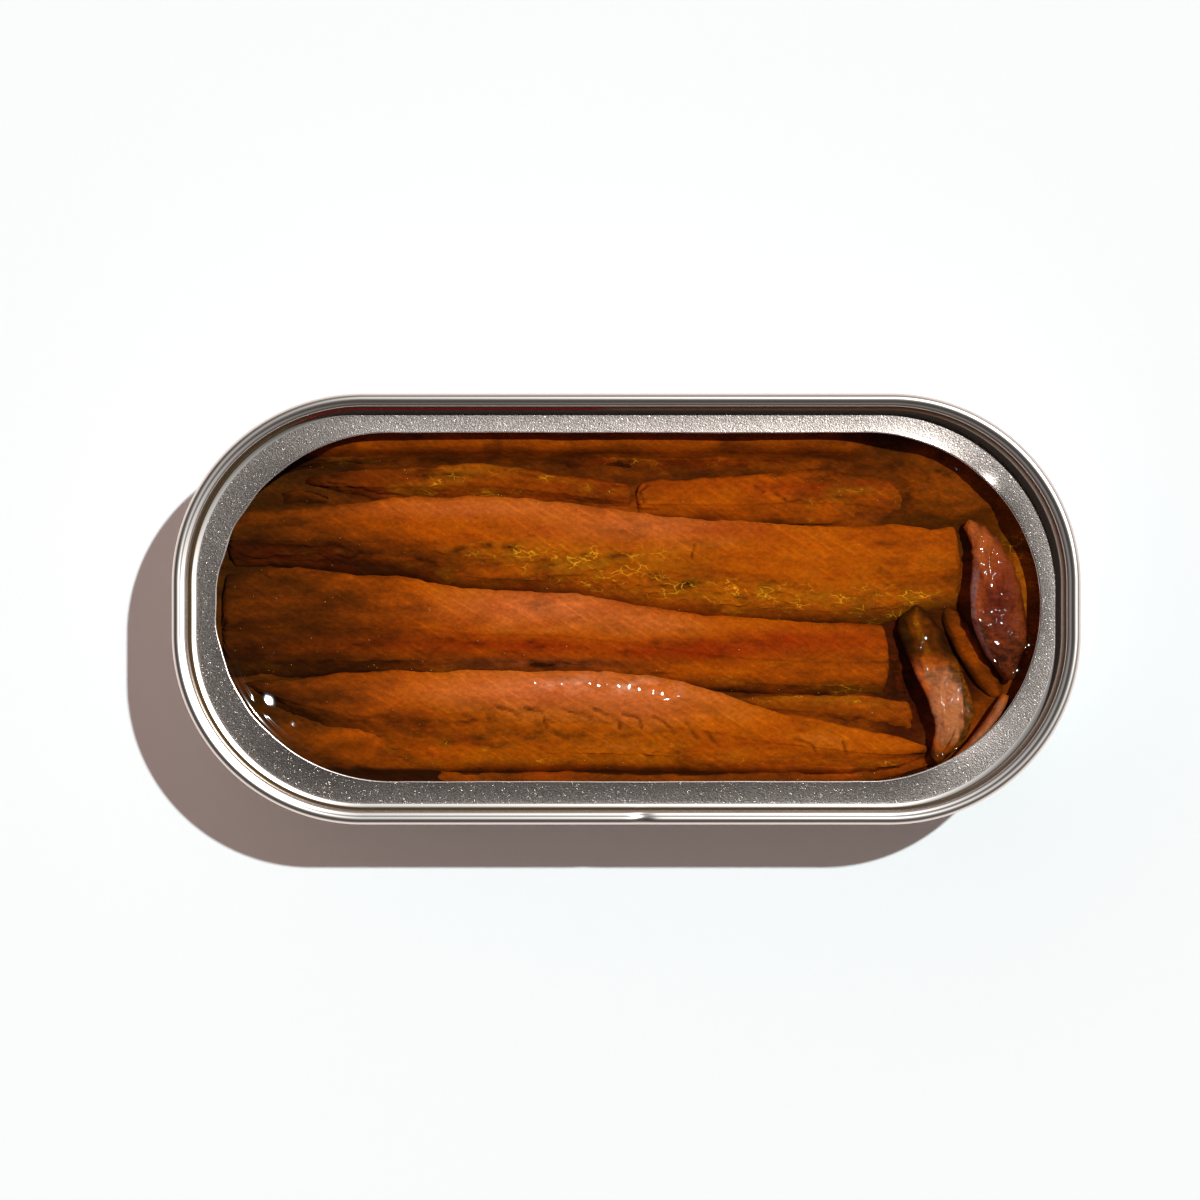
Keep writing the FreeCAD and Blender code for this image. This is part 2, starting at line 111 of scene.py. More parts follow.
GLINT_BAND = (0.47, 0.60)   # points are closer here, in shares of the half-width in from the edge
GLINT_STRETCH = (-0.13, 0.30)       # and in u
SPOT_LIFT = 0.12            # a bright spot on the film stands this much proud
COLOUR_FROM = 1.0           # the flesh's colours run from this far above the oil's level
COLOUR_TO = 5.0             # to this far below it
NOTHING = -99.0             # the height given where there is no flesh


def millimetres(corner):
    return np.array(corner) / MM


ring_high = millimetres(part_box("end_ring")[1])
oil_top = millimetres(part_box("oil")[1])[2]
half_length = ring_high[0]
half_width = ring_high[1]
corner = half_width - CORNER_FLAT / 2
foot_inset = SEAM_THICKNESS + WALL_LEAN
opening_length = half_length - foot_inset - RING_WIDTH
opening_width = half_width - foot_inset - RING_WIDTH
opening_mid = np.array(OPENING_SHIFT)
ring_z = ring_high[2] - COUNTERSINK


# ---- Hard light and camera; the oil's bright spots are shaped for these places ----
SUN_ZENITH = math.radians(25)
SUN_AZIMUTH = math.radians(40.8)
SUN_STRENGTH = 2.93
CAMERA_PLACE = (-3.04, 1.03, 637.0)     # mm
LENS = 160.4
toward_sun = np.array([math.sin(SUN_ZENITH) * math.cos(SUN_AZIMUTH),
                       math.sin(SUN_ZENITH) * math.sin(SUN_AZIMUTH), math.cos(SUN_ZENITH)])


# ---- Random relief ----
def bumps(x, y, seed):
    """Smooth random values from -1 to 1, about one bump to each unit of x and y."""
    column = np.floor(x).astype(np.int64)
    row = np.floor(y).astype(np.int64)
    across = x - column
    down = y - row
    across = across * across * (3 - 2 * across)
    down = down * down * (3 - 2 * down)

    def corner_value(right, up):
        """Large odd numbers scatter neighbouring places over all the values."""
        mixed = (column + right) * 374761393 + (row + up) * 668265263 + seed * 1442695041
        mixed = (mixed ^ (mixed >> 13)) * 1274126177
        mixed = mixed ^ (mixed >> 16)
        return (mixed & 0xFFFF) / 32767.5 - 1

    low = corner_value(0, 0) * (1 - across) + corner_value(1, 0) * across
    high = corner_value(0, 1) * (1 - across) + corner_value(1, 1) * across
    return low * (1 - down) + high * down


def rough(x, y, seed, octaves=3):
    """Bumps with finer ones on them."""
    total = 0.0
    size = 1.0
    for octave in range(octaves):
        total = total + size * bumps(x * 2 ** octave, y * 2 ** octave, seed + 17 * octave)
        size *= 0.5
    return total


def ramp(value, start, end):
    """0 before start, 1 after end, smooth between."""
    share = np.clip((value - start) / (end - start), 0, 1)
    return share * share * (3 - 2 * share)


def patch(u, v, mid_u, mid_v, reach_u, reach_v):
    """A soft oval patch, 1 at its middle."""
    return np.exp(-((u - mid_u) / reach_u) ** 2 - ((v - mid_v) / reach_v) ** 2)


def hill(value, reach):
    """1 where the value is nought, falling away smoothly on both sides."""
    return np.exp(-(value / reach) ** 2)


def shares(x, y):
    """Places on the contents as u and v."""
    return (x - opening_mid[0]) / opening_length, (y - opening_mid[1]) / opening_width


# ---- Meshes ----
def make_mesh(name, points, faces, smooth=True):
    mesh = bpy.data.meshes.new(name)
    mesh.from_pydata((np.asarray(points) * MM).tolist(), [], faces)
    mesh.validate()
    if smooth:
        mesh.shade_smooth()
    piece = bpy.data.objects.new(name, mesh)
    bpy.context.scene.collection.objects.link(piece)
    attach(piece, "root")
    return piece


def grid_faces(rows, columns, first=0, closed=True):
    """Four-sided faces between rows of points; closed joins each row's last point to its first."""
    around = columns if closed else columns - 1
    row, column = np.meshgrid(np.arange(rows - 1), np.arange(around), indexing="ij")
    beside = (column + 1) % columns
    corners = np.stack([row * columns + column, row * columns + beside,
                        (row + 1) * columns + beside, (row + 1) * columns + column], -1)
    return (corners.reshape(-1, 4) + first).tolist()


def fan(ring, middle, flip):
    """Triangles from a ring of point numbers to a middle point."""
    return [(a, b, middle) if flip else (b, a, middle) for a, b in zip(ring, ring[1:] + ring[:1])]


def mark(piece, name, values):
    """Stores one number for each point, for the piece's material."""
    layer = piece.data.attributes.new(name, "FLOAT", "POINT")
    layer.data.foreach_set("value", np.asarray(values, np.float32).ravel())


# ---- Reading the fillets' solid forms ----
def triangles(node):
    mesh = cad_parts[node].data
    mesh.calc_loop_triangles()
    points = np.empty(len(mesh.vertices) * 3)
    mesh.vertices.foreach_get("co", points)
    numbers = np.empty(len(mesh.loop_triangles) * 3, np.int32)
    mesh.loop_triangles.foreach_get("vertices", numbers)
    return points.reshape(-1, 3)[numbers.reshape(-1, 3)] / MM


def cut_across(faces, axis, place):
    """The outline where a plane square to an axis cuts the solid, as line pieces in the plane."""
    side = faces[:, :, axis] - place
    crossed = (side.max(1) > 0) & (side.min(1) <= 0)
    faces = faces[crossed]
    side = side[crossed]
    above = side > 0
    lone = np.where(above.sum(1) == 1, above.argmax(1), (~above).argmax(1))
    order = (lone[:, None] + np.arange(3)) % 3
    faces = np.take_along_axis(faces, order[:, :, None], 1)
    side = np.take_along_axis(side, order, 1)
    ends = []
    for other in (1, 2):
        share = side[:, 0] / (side[:, 0] - side[:, other])
        ends.append(faces[:, 0] + (faces[:, other] - faces[:, 0]) * share[:, None])
    keep = [k for k in range(3) if k != axis]
    return np.stack(ends, 1)[:, :, keep]


def directions(across, side=5):
    """Ways out from a cut's middle: closely spaced over the top, wider down the sides and below."""
    top = [(x, 1.0) for x in np.linspace(-1, 1, across)]
    right = [(1.0, z) for z in np.linspace(1, -1, side + 2)[1:-1]]
    bottom = [(x, -1.0) for x in np.linspace(1, -1, max(across // 6, 5))]
    left = [(-1.0, z) for z in np.linspace(-1, 1, side + 2)[1:-1]]
    return np.array(top + right + bottom + left)


def resampled(outline, ways):
    """Points on the outline in each way from its middle."""
    low = outline.min((0, 1))
    high = outline.max((0, 1))
    middle = (low + high) / 2
    out = ways * (high - low) / 2
    start = outline[None, :, 0] - middle
    along = outline[None, :, 1] - outline[None, :, 0]
    toward = out[:, None]
    crossing = toward[..., 0] * along[..., 1] - toward[..., 1] * along[..., 0]
    crossing = np.where(np.abs(crossing) < 1e-12, 1e-12, crossing)
    reach = (start[..., 0] * along[..., 1] - start[..., 1] * along[..., 0]) / crossing
    place = (start[..., 0] * toward[..., 1] - start[..., 1] * toward[..., 0]) / crossing
    hit = (place > -1e-6) & (place < 1 + 1e-6) & (reach > 0)
    return middle + out * np.where(hit, reach, 0).max(1)[:, None]


def form(node, axis, blunt=(), reach=0.0):
    """The node's skin as rows of points along an axis, with each point's share of the way across.

    The share is -1 at the far or left edge and 1 at the near or right edge.  A blunt end, "low" or "high",
    keeps the width it has a little further in, as a torn fillet does; reach carries the low end further out.
    """
    faces = triangles(node)
    low = faces[:, :, axis].min()
    high = faces[:, :, axis].max()
    other = faces[:, :, 1 - axis]
    across = int(np.clip((other.max() - other.min()) / MESH_STEP, 12, 62))
    ways = directions(across)
    count = max(int((high - low) / MESH_STEP), 12)
    rows = []
    places = np.linspace(low + 0.01, high - 0.01, count)
    for place in places:
        ring = resampled(cut_across(faces, axis, place), ways)
        row = np.insert(ring, axis, place, axis=1)
        rows.append(row)
    rows = np.array(rows)
    if reach:
        extra = int(reach / MESH_STEP)
        out = low + 0.01 - np.arange(extra, 0, -1) * reach / extra
        rows = np.concatenate([np.repeat(rows[:1], extra, 0), rows])
        places = np.concatenate([out, places])
    for end in blunt:
        hold(rows, places, axis, end == "high", BLUNT_REACH + (reach if end == "low" else 0))
    share = -ways[:, 0] if axis == 0 else ways[:, 0]
    return rows, np.broadcast_to(share, (len(rows), len(ways)))


def hold(rows, places, axis, high, depth):
    """Carries the section from a depth in out to the end, rounding only the last of it."""
    edge = places[-1] if high else places[0]
    sign = 1 if high else -1
    source = int(np.argmin(np.abs(places - (edge - sign * depth))))
    inner = int(np.argmin(np.abs(places - (edge - sign * (depth + BLUNT_REACH)))))
    drift = (rows[source].mean(0) - rows[inner].mean(0)) / (places[source] - places[inner])
    for i in np.flatnonzero((places - places[source]) * sign > 0):
        run = places[i] - places[source]
        ring = rows[source] + drift * run
        to_end = abs(edge - places[i])
        size = math.sqrt(max(1 - max(1 - to_end / END_ROUND, 0) ** 2, 0.02))
        middle = ring.mean(0)
        rows[i] = middle + (ring - middle) * size
        ragged = 0.35 * rough(ring[:, 1 - axis] / 1.4, ring[:, 2] / 3, 91) * abs(run) / depth
        rows[i][:, axis] = places[i] - sign * np.abs(ragged)


def row_normals(rows):
    ahead = np.gradient(rows, axis=0)
    beside = np.roll(rows, -1, 1) - np.roll(rows, 1, 1)
    normal = np.cross(beside, ahead)
    middle = rows.mean(1, keepdims=True)
    if (normal * (rows - middle)).sum() < 0:
        normal = -normal
    return normal / np.maximum(np.linalg.norm(normal, axis=2, keepdims=True), 1e-9)


# ---- Flesh ----
def webbing(x, y, seed):
    """Torn connective tissue: sharp crests that run into each other, 1 on a crest."""
    warp = 0.8 * bumps(x / 1.7, y / 1.3, seed + 3)
    crest = 1 - np.abs(bumps(x / 2.2 + warp, y / 1.0 + warp, seed)) * 2.2
    fine = 1 - np.abs(bumps(x / 1.1 - warp, y / 0.6, seed + 5)) * 2.4
    return np.clip(crest, 0, 1) ** 2 + 0.6 * np.clip(fine, 0, 1) ** 3


def near_line(x, y, line):
    """Distance in mm to a bent line given by (u, v) places."""
    nearest = np.full(np.shape(x), 1e9)
    places = [opening_mid + np.array(p) * (opening_length, opening_width) for p in line]
    for a, b in zip(places, places[1:]):
        run = b - a
        share = np.clip(((x - a[0]) * run[0] + (y - a[1]) * run[1]) / (run @ run), 0, 1)
        nearest = np.minimum(nearest, np.hypot(x - a[0] - share * run[0], y - a[1] - share * run[1]))
    return nearest


CRACKS = {
    "lower_fillet": [
        [(-0.32, -0.58), (-0.29, -0.60), (-0.265, -0.655)],
        [(-0.25, -0.58), (-0.21, -0.62), (-0.20, -0.70)],
        [(-0.16, -0.59), (-0.13, -0.61), (-0.09, -0.645)],
        [(-0.085, -0.59), (-0.045, -0.63), (-0.02, -0.66), (-0.02, -0.71)],
        [(-0.015, -0.62), (0.025, -0.64), (0.03, -0.70)],
        [(0.065, -0.64), (0.09, -0.67), (0.115, -0.735)],
        [(0.14, -0.67), (0.15, -0.71), (0.17, -0.765)],
        [(0.19, -0.73), (0.205, -0.76), (0.22, -0.81)],
        [(0.41, -0.77), (0.44, -0.79), (0.455, -0.83)],
        [(0.52, -0.78), (0.53, -0.85)],
    ],
    "upper_fillet": [
        [(-0.71, 0.30), (-0.68, 0.27), (-0.65, 0.31)],
        [(0.16, 0.36), (0.155, 0.28)],
    ],
    "middle_fillet": [
        [(-0.94, 0.17), (-0.90, 0.19), (-0.87, 0.16)],
        [(0.03, 0.04), (0.10, 0.0), (0.20, -0.03)],
    ],
    "back_strip": [
        [(-0.23, 0.935), (-0.235, 0.86)],
        [(-0.11, 0.93), (-0.12, 0.85)],
        [(-0.05, 0.92), (-0.05, 0.86)],
        [(-0.31, 0.845), (-0.27, 0.835), (-0.25, 0.80)],
    ],
    "second_row_left": [
        [(-0.735, 0.715), (-0.70, 0.70), (-0.62, 0.655), (-0.55, 0.645)],
        [(-0.30, 0.79), (-0.27, 0.77), (-0.22, 0.75)],
    ],
    "second_row_right": [
        [(0.045, 0.70), (0.03, 0.66), (0.04, 0.60)],
        [(0.31, 0.70), (0.33, 0.66)],
        [(0.36, 0.65), (0.40, 0.60), (0.47, 0.62)],
    ],
}

# What each row looks like: how strongly its folds and torn webbing stand out, the share of its width, from
# the far edge, at which the webbing starts, which ends are torn off blunt, and how far its left end goes on.
BOTH = ("low", "high")
ROWS = {
    "back_strip": dict(fold=0.16, web=0.10, web_from=-0.9, seed=3, blunt=BOTH, reach=0),
    "left_lobe": dict(fold=0.12, web=0.05, web_from=0.2, seed=5, blunt=(), reach=0),
    "second_row_left": dict(fold=0.18, web=0.13, web_from=-0.9, seed=7, blunt=("high",), reach=0),
    "second_row_right": dict(fold=0.18, web=0.12, web_from=-0.8, seed=11, blunt=BOTH, reach=0.5),
    "upper_fillet": dict(fold=0.12, web=0.20, web_from=0.12, seed=13, blunt=BOTH, reach=2.4),
    "middle_fillet": dict(fold=0.12, web=0.05, web_from=0.72, seed=19, blunt=BOTH, reach=1.0),
    "low_strip": dict(fold=0.16, web=0.15, web_from=-0.9, seed=23, blunt=BOTH, reach=0),
    "lower_fillet": dict(fold=0.10, web=0.07, web_from=0.45, seed=29, blunt=(), reach=0),
    "front_strip": dict(fold=0.10, web=0.05, web_from=0.0, seed=31, blunt=BOTH, reach=0),
}

# Where each row is marked: how strongly, an oval's middle u and v and its reach in u and v, and whether the
# mark is cloudy or blotchy, or even if that isn't said.  A mark with no oval covers the whole row.
MARKS = {
    "upper_fillet": {
        "pink": [(0.6, 0.05, 0.47, 0.22, 0.09), (0.45, -0.36, 0.57, 0.25, 0.05)],
        "dark": [(0.3, 0.15, 0.2, 0.05, 0.1)],
        "deep": [(0.26, -0.66, 0.3, 0.25, 0.2), (0.09, -0.36, 0.42, 0.22, 0.16)],
        "red": [(0.5, 0.24, 0.44, 0.09, 0.05)],
        "gold": [(0.6, 0.42, 0.06, 0.32, 0.07), (0.7, -0.07, 0.25, 0.20, 0.11),
                 (0.4, 0.14, 0.10, 0.16, 0.05), (0.45, -0.32, 0.32, 0.12, 0.05)],
        "olive": [(0.4, 0.70, 0.18, 0.18, 0.16, "cloudy")],
    },
    "middle_fillet": {
        "pink": [(0.9, -0.2, 0.0, 0.2, 0.10), (0.4, 0.05, -0.10, 0.12, 0.06),
                 (0.35, -0.22, -0.325, 0.2, 0.03)],
        "dark": [(0.35, -0.62, -0.14, 0.18, 0.13, "cloudy"), (0.45, -0.30, -0.22, 0.34, 0.05, "blotchy"),
                 (0.45, 0.16, -0.26, 0.2, 0.05, "blotchy"), (0.6, -0.22, -0.325, 0.24, 0.03)],
        "deep": [(0.18, -0.30, -0.22, 0.34, 0.05), (0.18, 0.16, -0.26, 0.2, 0.05),
                 (0.18, -0.65, -0.05, 0.2, 0.2), (0.25, -0.22, -0.325, 0.3, 0.035)],
        "red": [(0.7, -0.30, -0.22, 0.34, 0.05), (0.7, 0.16, -0.26, 0.2, 0.05),
                (0.8, 0.42, -0.2, 0.25, 0.06)],
    },
    "lower_fillet": {
        "pink": [(1.0, -0.17, -0.48, 0.28, 0.09), (0.5, 0.04, -0.58, 0.12, 0.08)],
        "dark": [(0.4, -0.45, -0.66, 0.25, 0.05), (0.3, 0.05, -0.78, 0.35, 0.04, "cloudy")],
        "deep": [(0.2, -0.66, -0.62, 0.3, 0.14), (0.12, -0.1, -0.75, 0.5, 0.05),
                 (-0.50, -0.1, -0.885, 0.6, 0.06)],
        "gold": [(0.3, -0.1, -0.885, 0.5, 0.03)],
        "olive": [(0.6, -0.25, -0.74, 0.30, 0.04)],
    },
    "back_strip": {
        "dark": [(0.25, "blotchy")],
        "deep": [(0.10,)],
        "red": [(0.3, 0.3, 0.85, 0.4, 0.1)],
    },
    "second_row_left": {
        "dark": [(0.3, "blotchy")],
        "deep": [(0.12,)],
        "red": [(0.25, "cloudy")],
        "gold": [(0.4, -0.36, 0.80, 0.10, 0.05), (0.25, -0.36, 0.73, 0.18, 0.06, "cloudy")],
    },
    "second_row_right": {
        "dark": [(0.6, 0.42, 0.79, 0.22, 0.05, "cloudy")],
        "red": [(0.6, 0.45, 0.70, 0.35, 0.06)],
    },
    "low_strip": {
        "deep": [(-0.26,)],
        "gold": [(0.6, 0.45, -0.50, 0.16, 0.07)],
    },
    "front_strip": {
        "deep": [(0.10, "cloudy")],
        "olive": [(0.3, "cloudy")],
    },
}


def flesh_marks(name, x, y, share, torn):
    """Where a row is pink, golden, dark, olive, red or deeper-looking, each from 0 to 1; painted shade
    darkens its near side and a groove, and a painted sheen lies on a ridge.
    """
    u, v = shares(x, y)
    cloudy = np.clip(0.5 + 0.5 * rough(x / 5, y / 2.2, 41), 0, 1)
    blotchy = ramp(rough(x / 3.4, y / 1.3, 53, 5), 0.0, 1.3)
    breaks = {"even": 1.0, "cloudy": cloudy, "blotchy": blotchy}
    marks = {
        "pink": 0 * x,
        "painted_sheen": 0 * x,
        "gold": 0.35 * torn * ramp(rough(x / 4.2, y / 1.7, 47), -0.2, 0.8) * (1 - 0.7 * ramp(-u, 0.5, 0.8)),
        "dark": 0.30 * blotchy + 0.35 * torn * blotchy,
        "olive": 0.18 * ramp(-u, 0.6, 0.95) * cloudy,
        "red": 0.30 * ramp(rough(x / 9, y / 2.6, 43), 0.1, 1.0) * ramp(u, -0.7, -0.4),
        # the last term is painted shade: each row's near side, which slopes away from the lamp, is darkened
        "deep": 0.24 * ramp(-u, 0.42, 0.9) + 0.08 * ramp(-u, 0.8, 1.0) + 0.16 * ramp(share, 0.5, 1.0),
    }
    for kind, ovals in MARKS.get(name, {}).items():
        for strength, *oval in ovals:
            broken = oval.pop() if oval and oval[-1] in breaks else "even"
            covered = patch(u, v, *oval) if oval else 1
            marks[kind] = marks[kind] + strength * covered * breaks[broken]
    if name == "upper_fillet":
        # Painted shade of a crease: a dark line lies where a groove would be; the surface isn't grooved
        # there.
        bent = [(-0.5, 0.33), (-0.3, 0.345), (0.02, 0.30)]
        groove_shade = near_line(x, y + 0.4 * bumps(x / 2.0, y * 0, 57), bent)
        groove_shade = hill(groove_shade, 0.4) * ramp(bumps(x / 1.5, y / 1.5, 59), -0.3, 0.4)
        gap = ramp(-u, -0.12, 0.2) * torn
        marks["dark"] += 0.5 * gap * blotchy + 0.75 * groove_shade
        marks["deep"] += 0.20 * gap
        marks["red"] += 0.25 * gap * cloudy
    if name == "middle_fillet":
        marks["deep"] += 0.10 * ramp(u, 0.25, 0.5)
    if name == "lower_fillet":
        marks["deep"] -= 0.11 * ramp(u, 0.15, 0.4)
        # Painted sheen: the lower fillet's ridge is lightened round its glints, as its wet shine would show.
        painted_sheen_patch = patch(u, v + 0.12 * np.maximum(u + 0.05, 0), -0.06, -0.455, 0.14, 0.035)
        marks["painted_sheen"] = 0.6 * painted_sheen_patch * ramp(rough(x / 1.6, y / 0.7, 67), -0.5, 0.7)
    if name == "second_row_right":
        marks["olive"] += 0.5 * ramp(u, 0.35, 0.6) * cloudy
    return marks


def squared(rows, share):
    """Keeps a section nearly flat out to a crisp far edge, and tucks its near edge under the next."""
    crown = rows[..., 2].max(1, keepdims=True)
    widest = (crown + rows[..., 2].min(1, keepdims=True)) / 2
    drop = crown - rows[..., 2]
    part = np.clip(drop / np.maximum(crown - widest, 0.1), 0, 1)
    keep = np.where(share < 0, 0.35, 0.75)
    rows[..., 2] = crown - drop * (keep + (1 - keep) * part ** 2)
    rows[..., 1] -= CLOSE_UP * ramp(share, 0.3, 1.0)
    rows[..., 2] -= 0.30 * ramp(share, 0.5, 1.0) * (1 - part)


def row_piece(name, material):
    """One fillet that lies along the tin, with its folds, torn webbing and cracks in its surface."""
    look = ROWS[name]
    seed = look["seed"]
    rows, share = form(name, axis=0, blunt=look["blunt"], reach=look["reach"])
    squared(rows, share)
    normal = row_normals(rows)
    x, y = rows[..., 0], rows[..., 1]
    u, v = shares(x, y)
    top = ramp(normal[..., 2], 0.1, 0.6)
    rim = ramp(1 - np.abs(share), 0.0, 0.12)
    torn = ramp(share, look["web_from"] - 0.12, look["web_from"] + 0.12)
    torn = torn * ramp(rough(x / 6, y / 4, seed + 2), -0.9, 0.1)
    web = webbing(x, y, seed + 7) * torn
    height = look["fold"] * (rough(x / 11, y / 2.6, seed, 2) + 0.35 * rough(x / 3.5, y / 1.6, seed + 4, 2))
    height = height + look["web"] * (web - 0.5 * torn) + 0.07 * torn * rough(x / 0.9, y / 0.7, seed + 9)
    along = x * math.cos(FIBRE_SLANT) + y * math.sin(FIBRE_SLANT)
    beside = y * math.cos(FIBRE_SLANT) - x * math.sin(FIBRE_SLANT)
    fibres = FIBRE_RELIEF * bumps(along / 3.5, beside / (FIBRE_SPACING / 2), seed + 13)
    height = height + fibres * (1 - 0.5 * torn)
    height = height + 0.025 * rough(x / 1.4, y / 0.6, seed + 15, 2)
    if name == "lower_fillet":
        crest = v + 0.51 + 0.12 * np.maximum(u + 0.2, 0)
        height = height + 0.42 * hill(crest, 0.07) * ramp(-u, -0.22, 0.0) * ramp(u, -0.62, -0.4)
    opened = np.zeros_like(x)
    ragged_x = x + 0.18 * bumps(x / 0.9, y / 0.9, seed)
    ragged_y = y + 0.10 * bumps(x / 0.5, y / 0.5, seed + 1)
    for line in CRACKS.get(name, []):
        far = near_line(ragged_x, ragged_y, line)
        opened = np.maximum(opened, hill(far, CRACK_WIDTH))
        height = height + CRACK_LIP * hill(far - 0.45, 0.25)
    height = height - CRACK_DEPTH * opened
    waver = (0.20 * rough(x / 4.5, y * 0, seed + 11) + 0.06 * bumps(x / 0.8, y * 0, seed + 12)) * (1 - rim)
    moved = rows + normal * (height * top * (0.25 + 0.75 * rim))[..., None]
    moved[..., 1] += waver
    piece = skin(name, moved)
    marks = flesh_marks(name, x, y, share, torn)
    # Painted shade: the cracks are darkened as well as cut into the surface.
    marks["dark"] = np.maximum(marks["dark"], 0.65 * opened)
    finish_flesh(piece, name, marks, [material])
    return piece


def skin(name, rows):
    """A closed mesh from rows of points, with a fan at both ends."""
    count, around = rows.shape[:2]
    points = np.concatenate([rows.reshape(-1, 3), rows[:1].mean(1), rows[-1:].mean(1)])
    faces = grid_faces(count, around)
    first = list(range(around))
    last = list(range((count - 1) * around, count * around))
    faces += fan(first, count * around, False) + fan(last, count * around + 1, True)
    piece = make_mesh(name + "_flesh", points, faces)
    settle_normals(piece)
    return piece


def settle_normals(piece):
    """Turns the faces outward if the solid came out inside out."""
    mesh = piece.data
    mesh.calc_loop_triangles()
    volume = 0.0
    for face in mesh.loop_triangles:
        a, b, c = (mesh.vertices[i].co for i in face.vertices)
        volume += a.dot(b.cross(c))
    if volume < 0:
        mesh.flip_normals()


def finish_flesh(piece, name, marks, materials):
    """Stores the marks and gives the piece its material; a second one is for what lies under the oil."""
    for kind, values in marks.items():
        whole = np.append(np.clip(values, 0, 1).ravel(), [0, 0])
        mark(piece, kind, whole)
    for material in materials:
        piece.data.materials.append(material)
    if len(materials) == 2:
        out_of_oil = [face.center.z > (oil_top + WET_FROM) * MM for face in piece.data.polygons]
        piece.data.polygons.foreach_set("material_index", [0 if out else 1 for out in out_of_oil])
    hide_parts(name)


def strand_piece(name, materials, ridges, marks_of, widen=0.0, beside=0.0):
    """A loose end or leaf across the rows, crumpled: wider than its solid by a share, and moved over."""
    rows, share = form(name, axis=1)
    rows[..., 0] += (rows - rows.mean(1, keepdims=True))[..., 0] * widen + beside
    normal = row_normals(rows)
    x, y = rows[..., 0], rows[..., 1]
    seed = len(name)
    crease = 1 - 2 * np.abs(bumps(x / 1.1 + 0.3 * bumps(x, y / 2, seed), y / 3.2, seed))
    crease = crease + 0.5 * rough(x / 1.6, y / 1.8, seed + 3, 4)
    height = ridges * (crease + 0.4 * rough(x / 0.5, y / 0.6, seed + 5, 2))
    height = height * ramp(normal[..., 2], -0.2, 0.4)
    piece = skin(name, rows + normal * height[..., None])
    marks = {"pink": 0, "gold": 0, "dark": 0, "olive": 0, "red": 0, "deep": 0}
    marks.update(marks_of(x, y, share))
    finish_flesh(piece, name, {kind: value + 0 * x for kind, value in marks.items()}, materials)
    return piece


def twisted_marks(x, y, share):
    """Olive-brown where it is sunk, pink-tan where it stands out, with a dark olive right side."""
    u, v = shares(x, y)
    out = ramp(-v, 0.26, 0.40) * ramp(v, -0.86, -0.76)
    gold = 0.6 * hill(share + 0.1, 0.16) * patch(u, v, 0.715, -0.13, 0.1, 0.13)
    olive = 0.3 * (1 - out) + 0.8 * out * ramp(share + 0.25 * bumps(x / 2, y / 2, 7), 0.4, 0.8)
    dark = 0.6 * hill(share - 0.1, 0.08) * ramp(-v, 0.66, 0.74)
    dark = dark + 0.45 * ramp(rough(x / 1.3, y / 2.5, 15), 0.1, 0.9)
    pink = out * (1 - 0.8 * ramp(share, 0.4, 0.8)) * (0.75 + 0.25 * rough(x / 1.5, y / 2.5, 5))
    deep = 0.5 * (1 - out) + 0.15 * ramp(np.abs(share), 0.5, 1)
    return {"pink": pink, "gold": gold, "dark": dark, "olive": olive, "deep": deep}


def strand_marks(x, y, share):
    return {"dark": 0.15 + 0.2 * rough(x / 1.2, y / 3, 3), "deep": 0.05 + 0.15 * ramp(np.abs(share), 0.4, 1)}


def flap_marks(x, y, share):
    return {"pink": 0.55 + 0.3 * rough(x / 1.2, y / 2, 3), "dark": 0.15, "red": 0.2}


def leaf_marks(x, y, share):
    """Pink at its tip, dark red in the middle, violet-brown below, with a silvery edge on the left."""
    u, v = shares(x, y)
    blotch = ramp(rough(x / 0.8 + y / 4, y / 2.6, 9, 4), -0.1, 0.8)
    pink = 0.95 * ramp(v, 0.05, 0.42) * (1 - 0.6 * ramp(share, 0.2, 0.9))
    pink = pink + 0.5 * patch(u, v, 0.9, 0.12, 0.03, 0.2)
    silver = 0.6 * ramp(-share, 0.88, 0.97) * ramp(v, -0.5, -0.1) * ramp(-v, -0.4, -0.1)
    dark = 0.5 * ramp(-v, 0.0, 0.25) + 0.5 * patch(u, v, 0.915, 0.03, 0.03, 0.1) + 0.35 * blotch
    red = 0.8 * patch(u, v, 0.905, 0.05, 0.035, 0.3) + 0.3 * blotch * ramp(v, -0.2, 0.1)
    return {"pink": pink * (1 - 0.5 * blotch), "dark": dark * (1 - silver), "olive": silver, "red": red}


# ---- Outlines round the tin and its opening ----
def outline(inset, count):
    """Points at even steps round the seam's rounded oblong, drawn in by the inset, with the way inward."""
    radius = corner
    mid_x = half_length - corner
    mid_y = half_width - corner
    sides = [2 * mid_y, math.pi / 2 * radius, 2 * mid_x, math.pi / 2 * radius] * 2
    edges = np.cumsum([0] + sides)
    places = np.linspace(0, edges[-1], count, endpoint=False)
    points = []
    inward = []
    starts = [(half_length, -mid_y), (mid_x, mid_y), (mid_x, half_width), (-mid_x, mid_y),
              (-half_length, mid_y), (-mid_x, -mid_y), (-mid_x, -half_width), (mid_x, -mid_y)]
    for place in places:
        part = int(np.searchsorted(edges, place, side="right")) - 1
        run = place - edges[part]
        turned = math.pi / 2 * (part // 2)
        if part % 2:
            angle = turned + run / radius
            out = np.array([math.cos(angle), math.sin(angle)])
            point = np.array(starts[part]) + out * radius
        else:
            out = np.array([math.cos(turned), math.sin(turned)])
            point = np.array(starts[part]) + np.array([-out[1], out[0]]) * run
        points.append(point - out * inset)
        inward.append(-out)
    return np.array(points), np.array(inward)


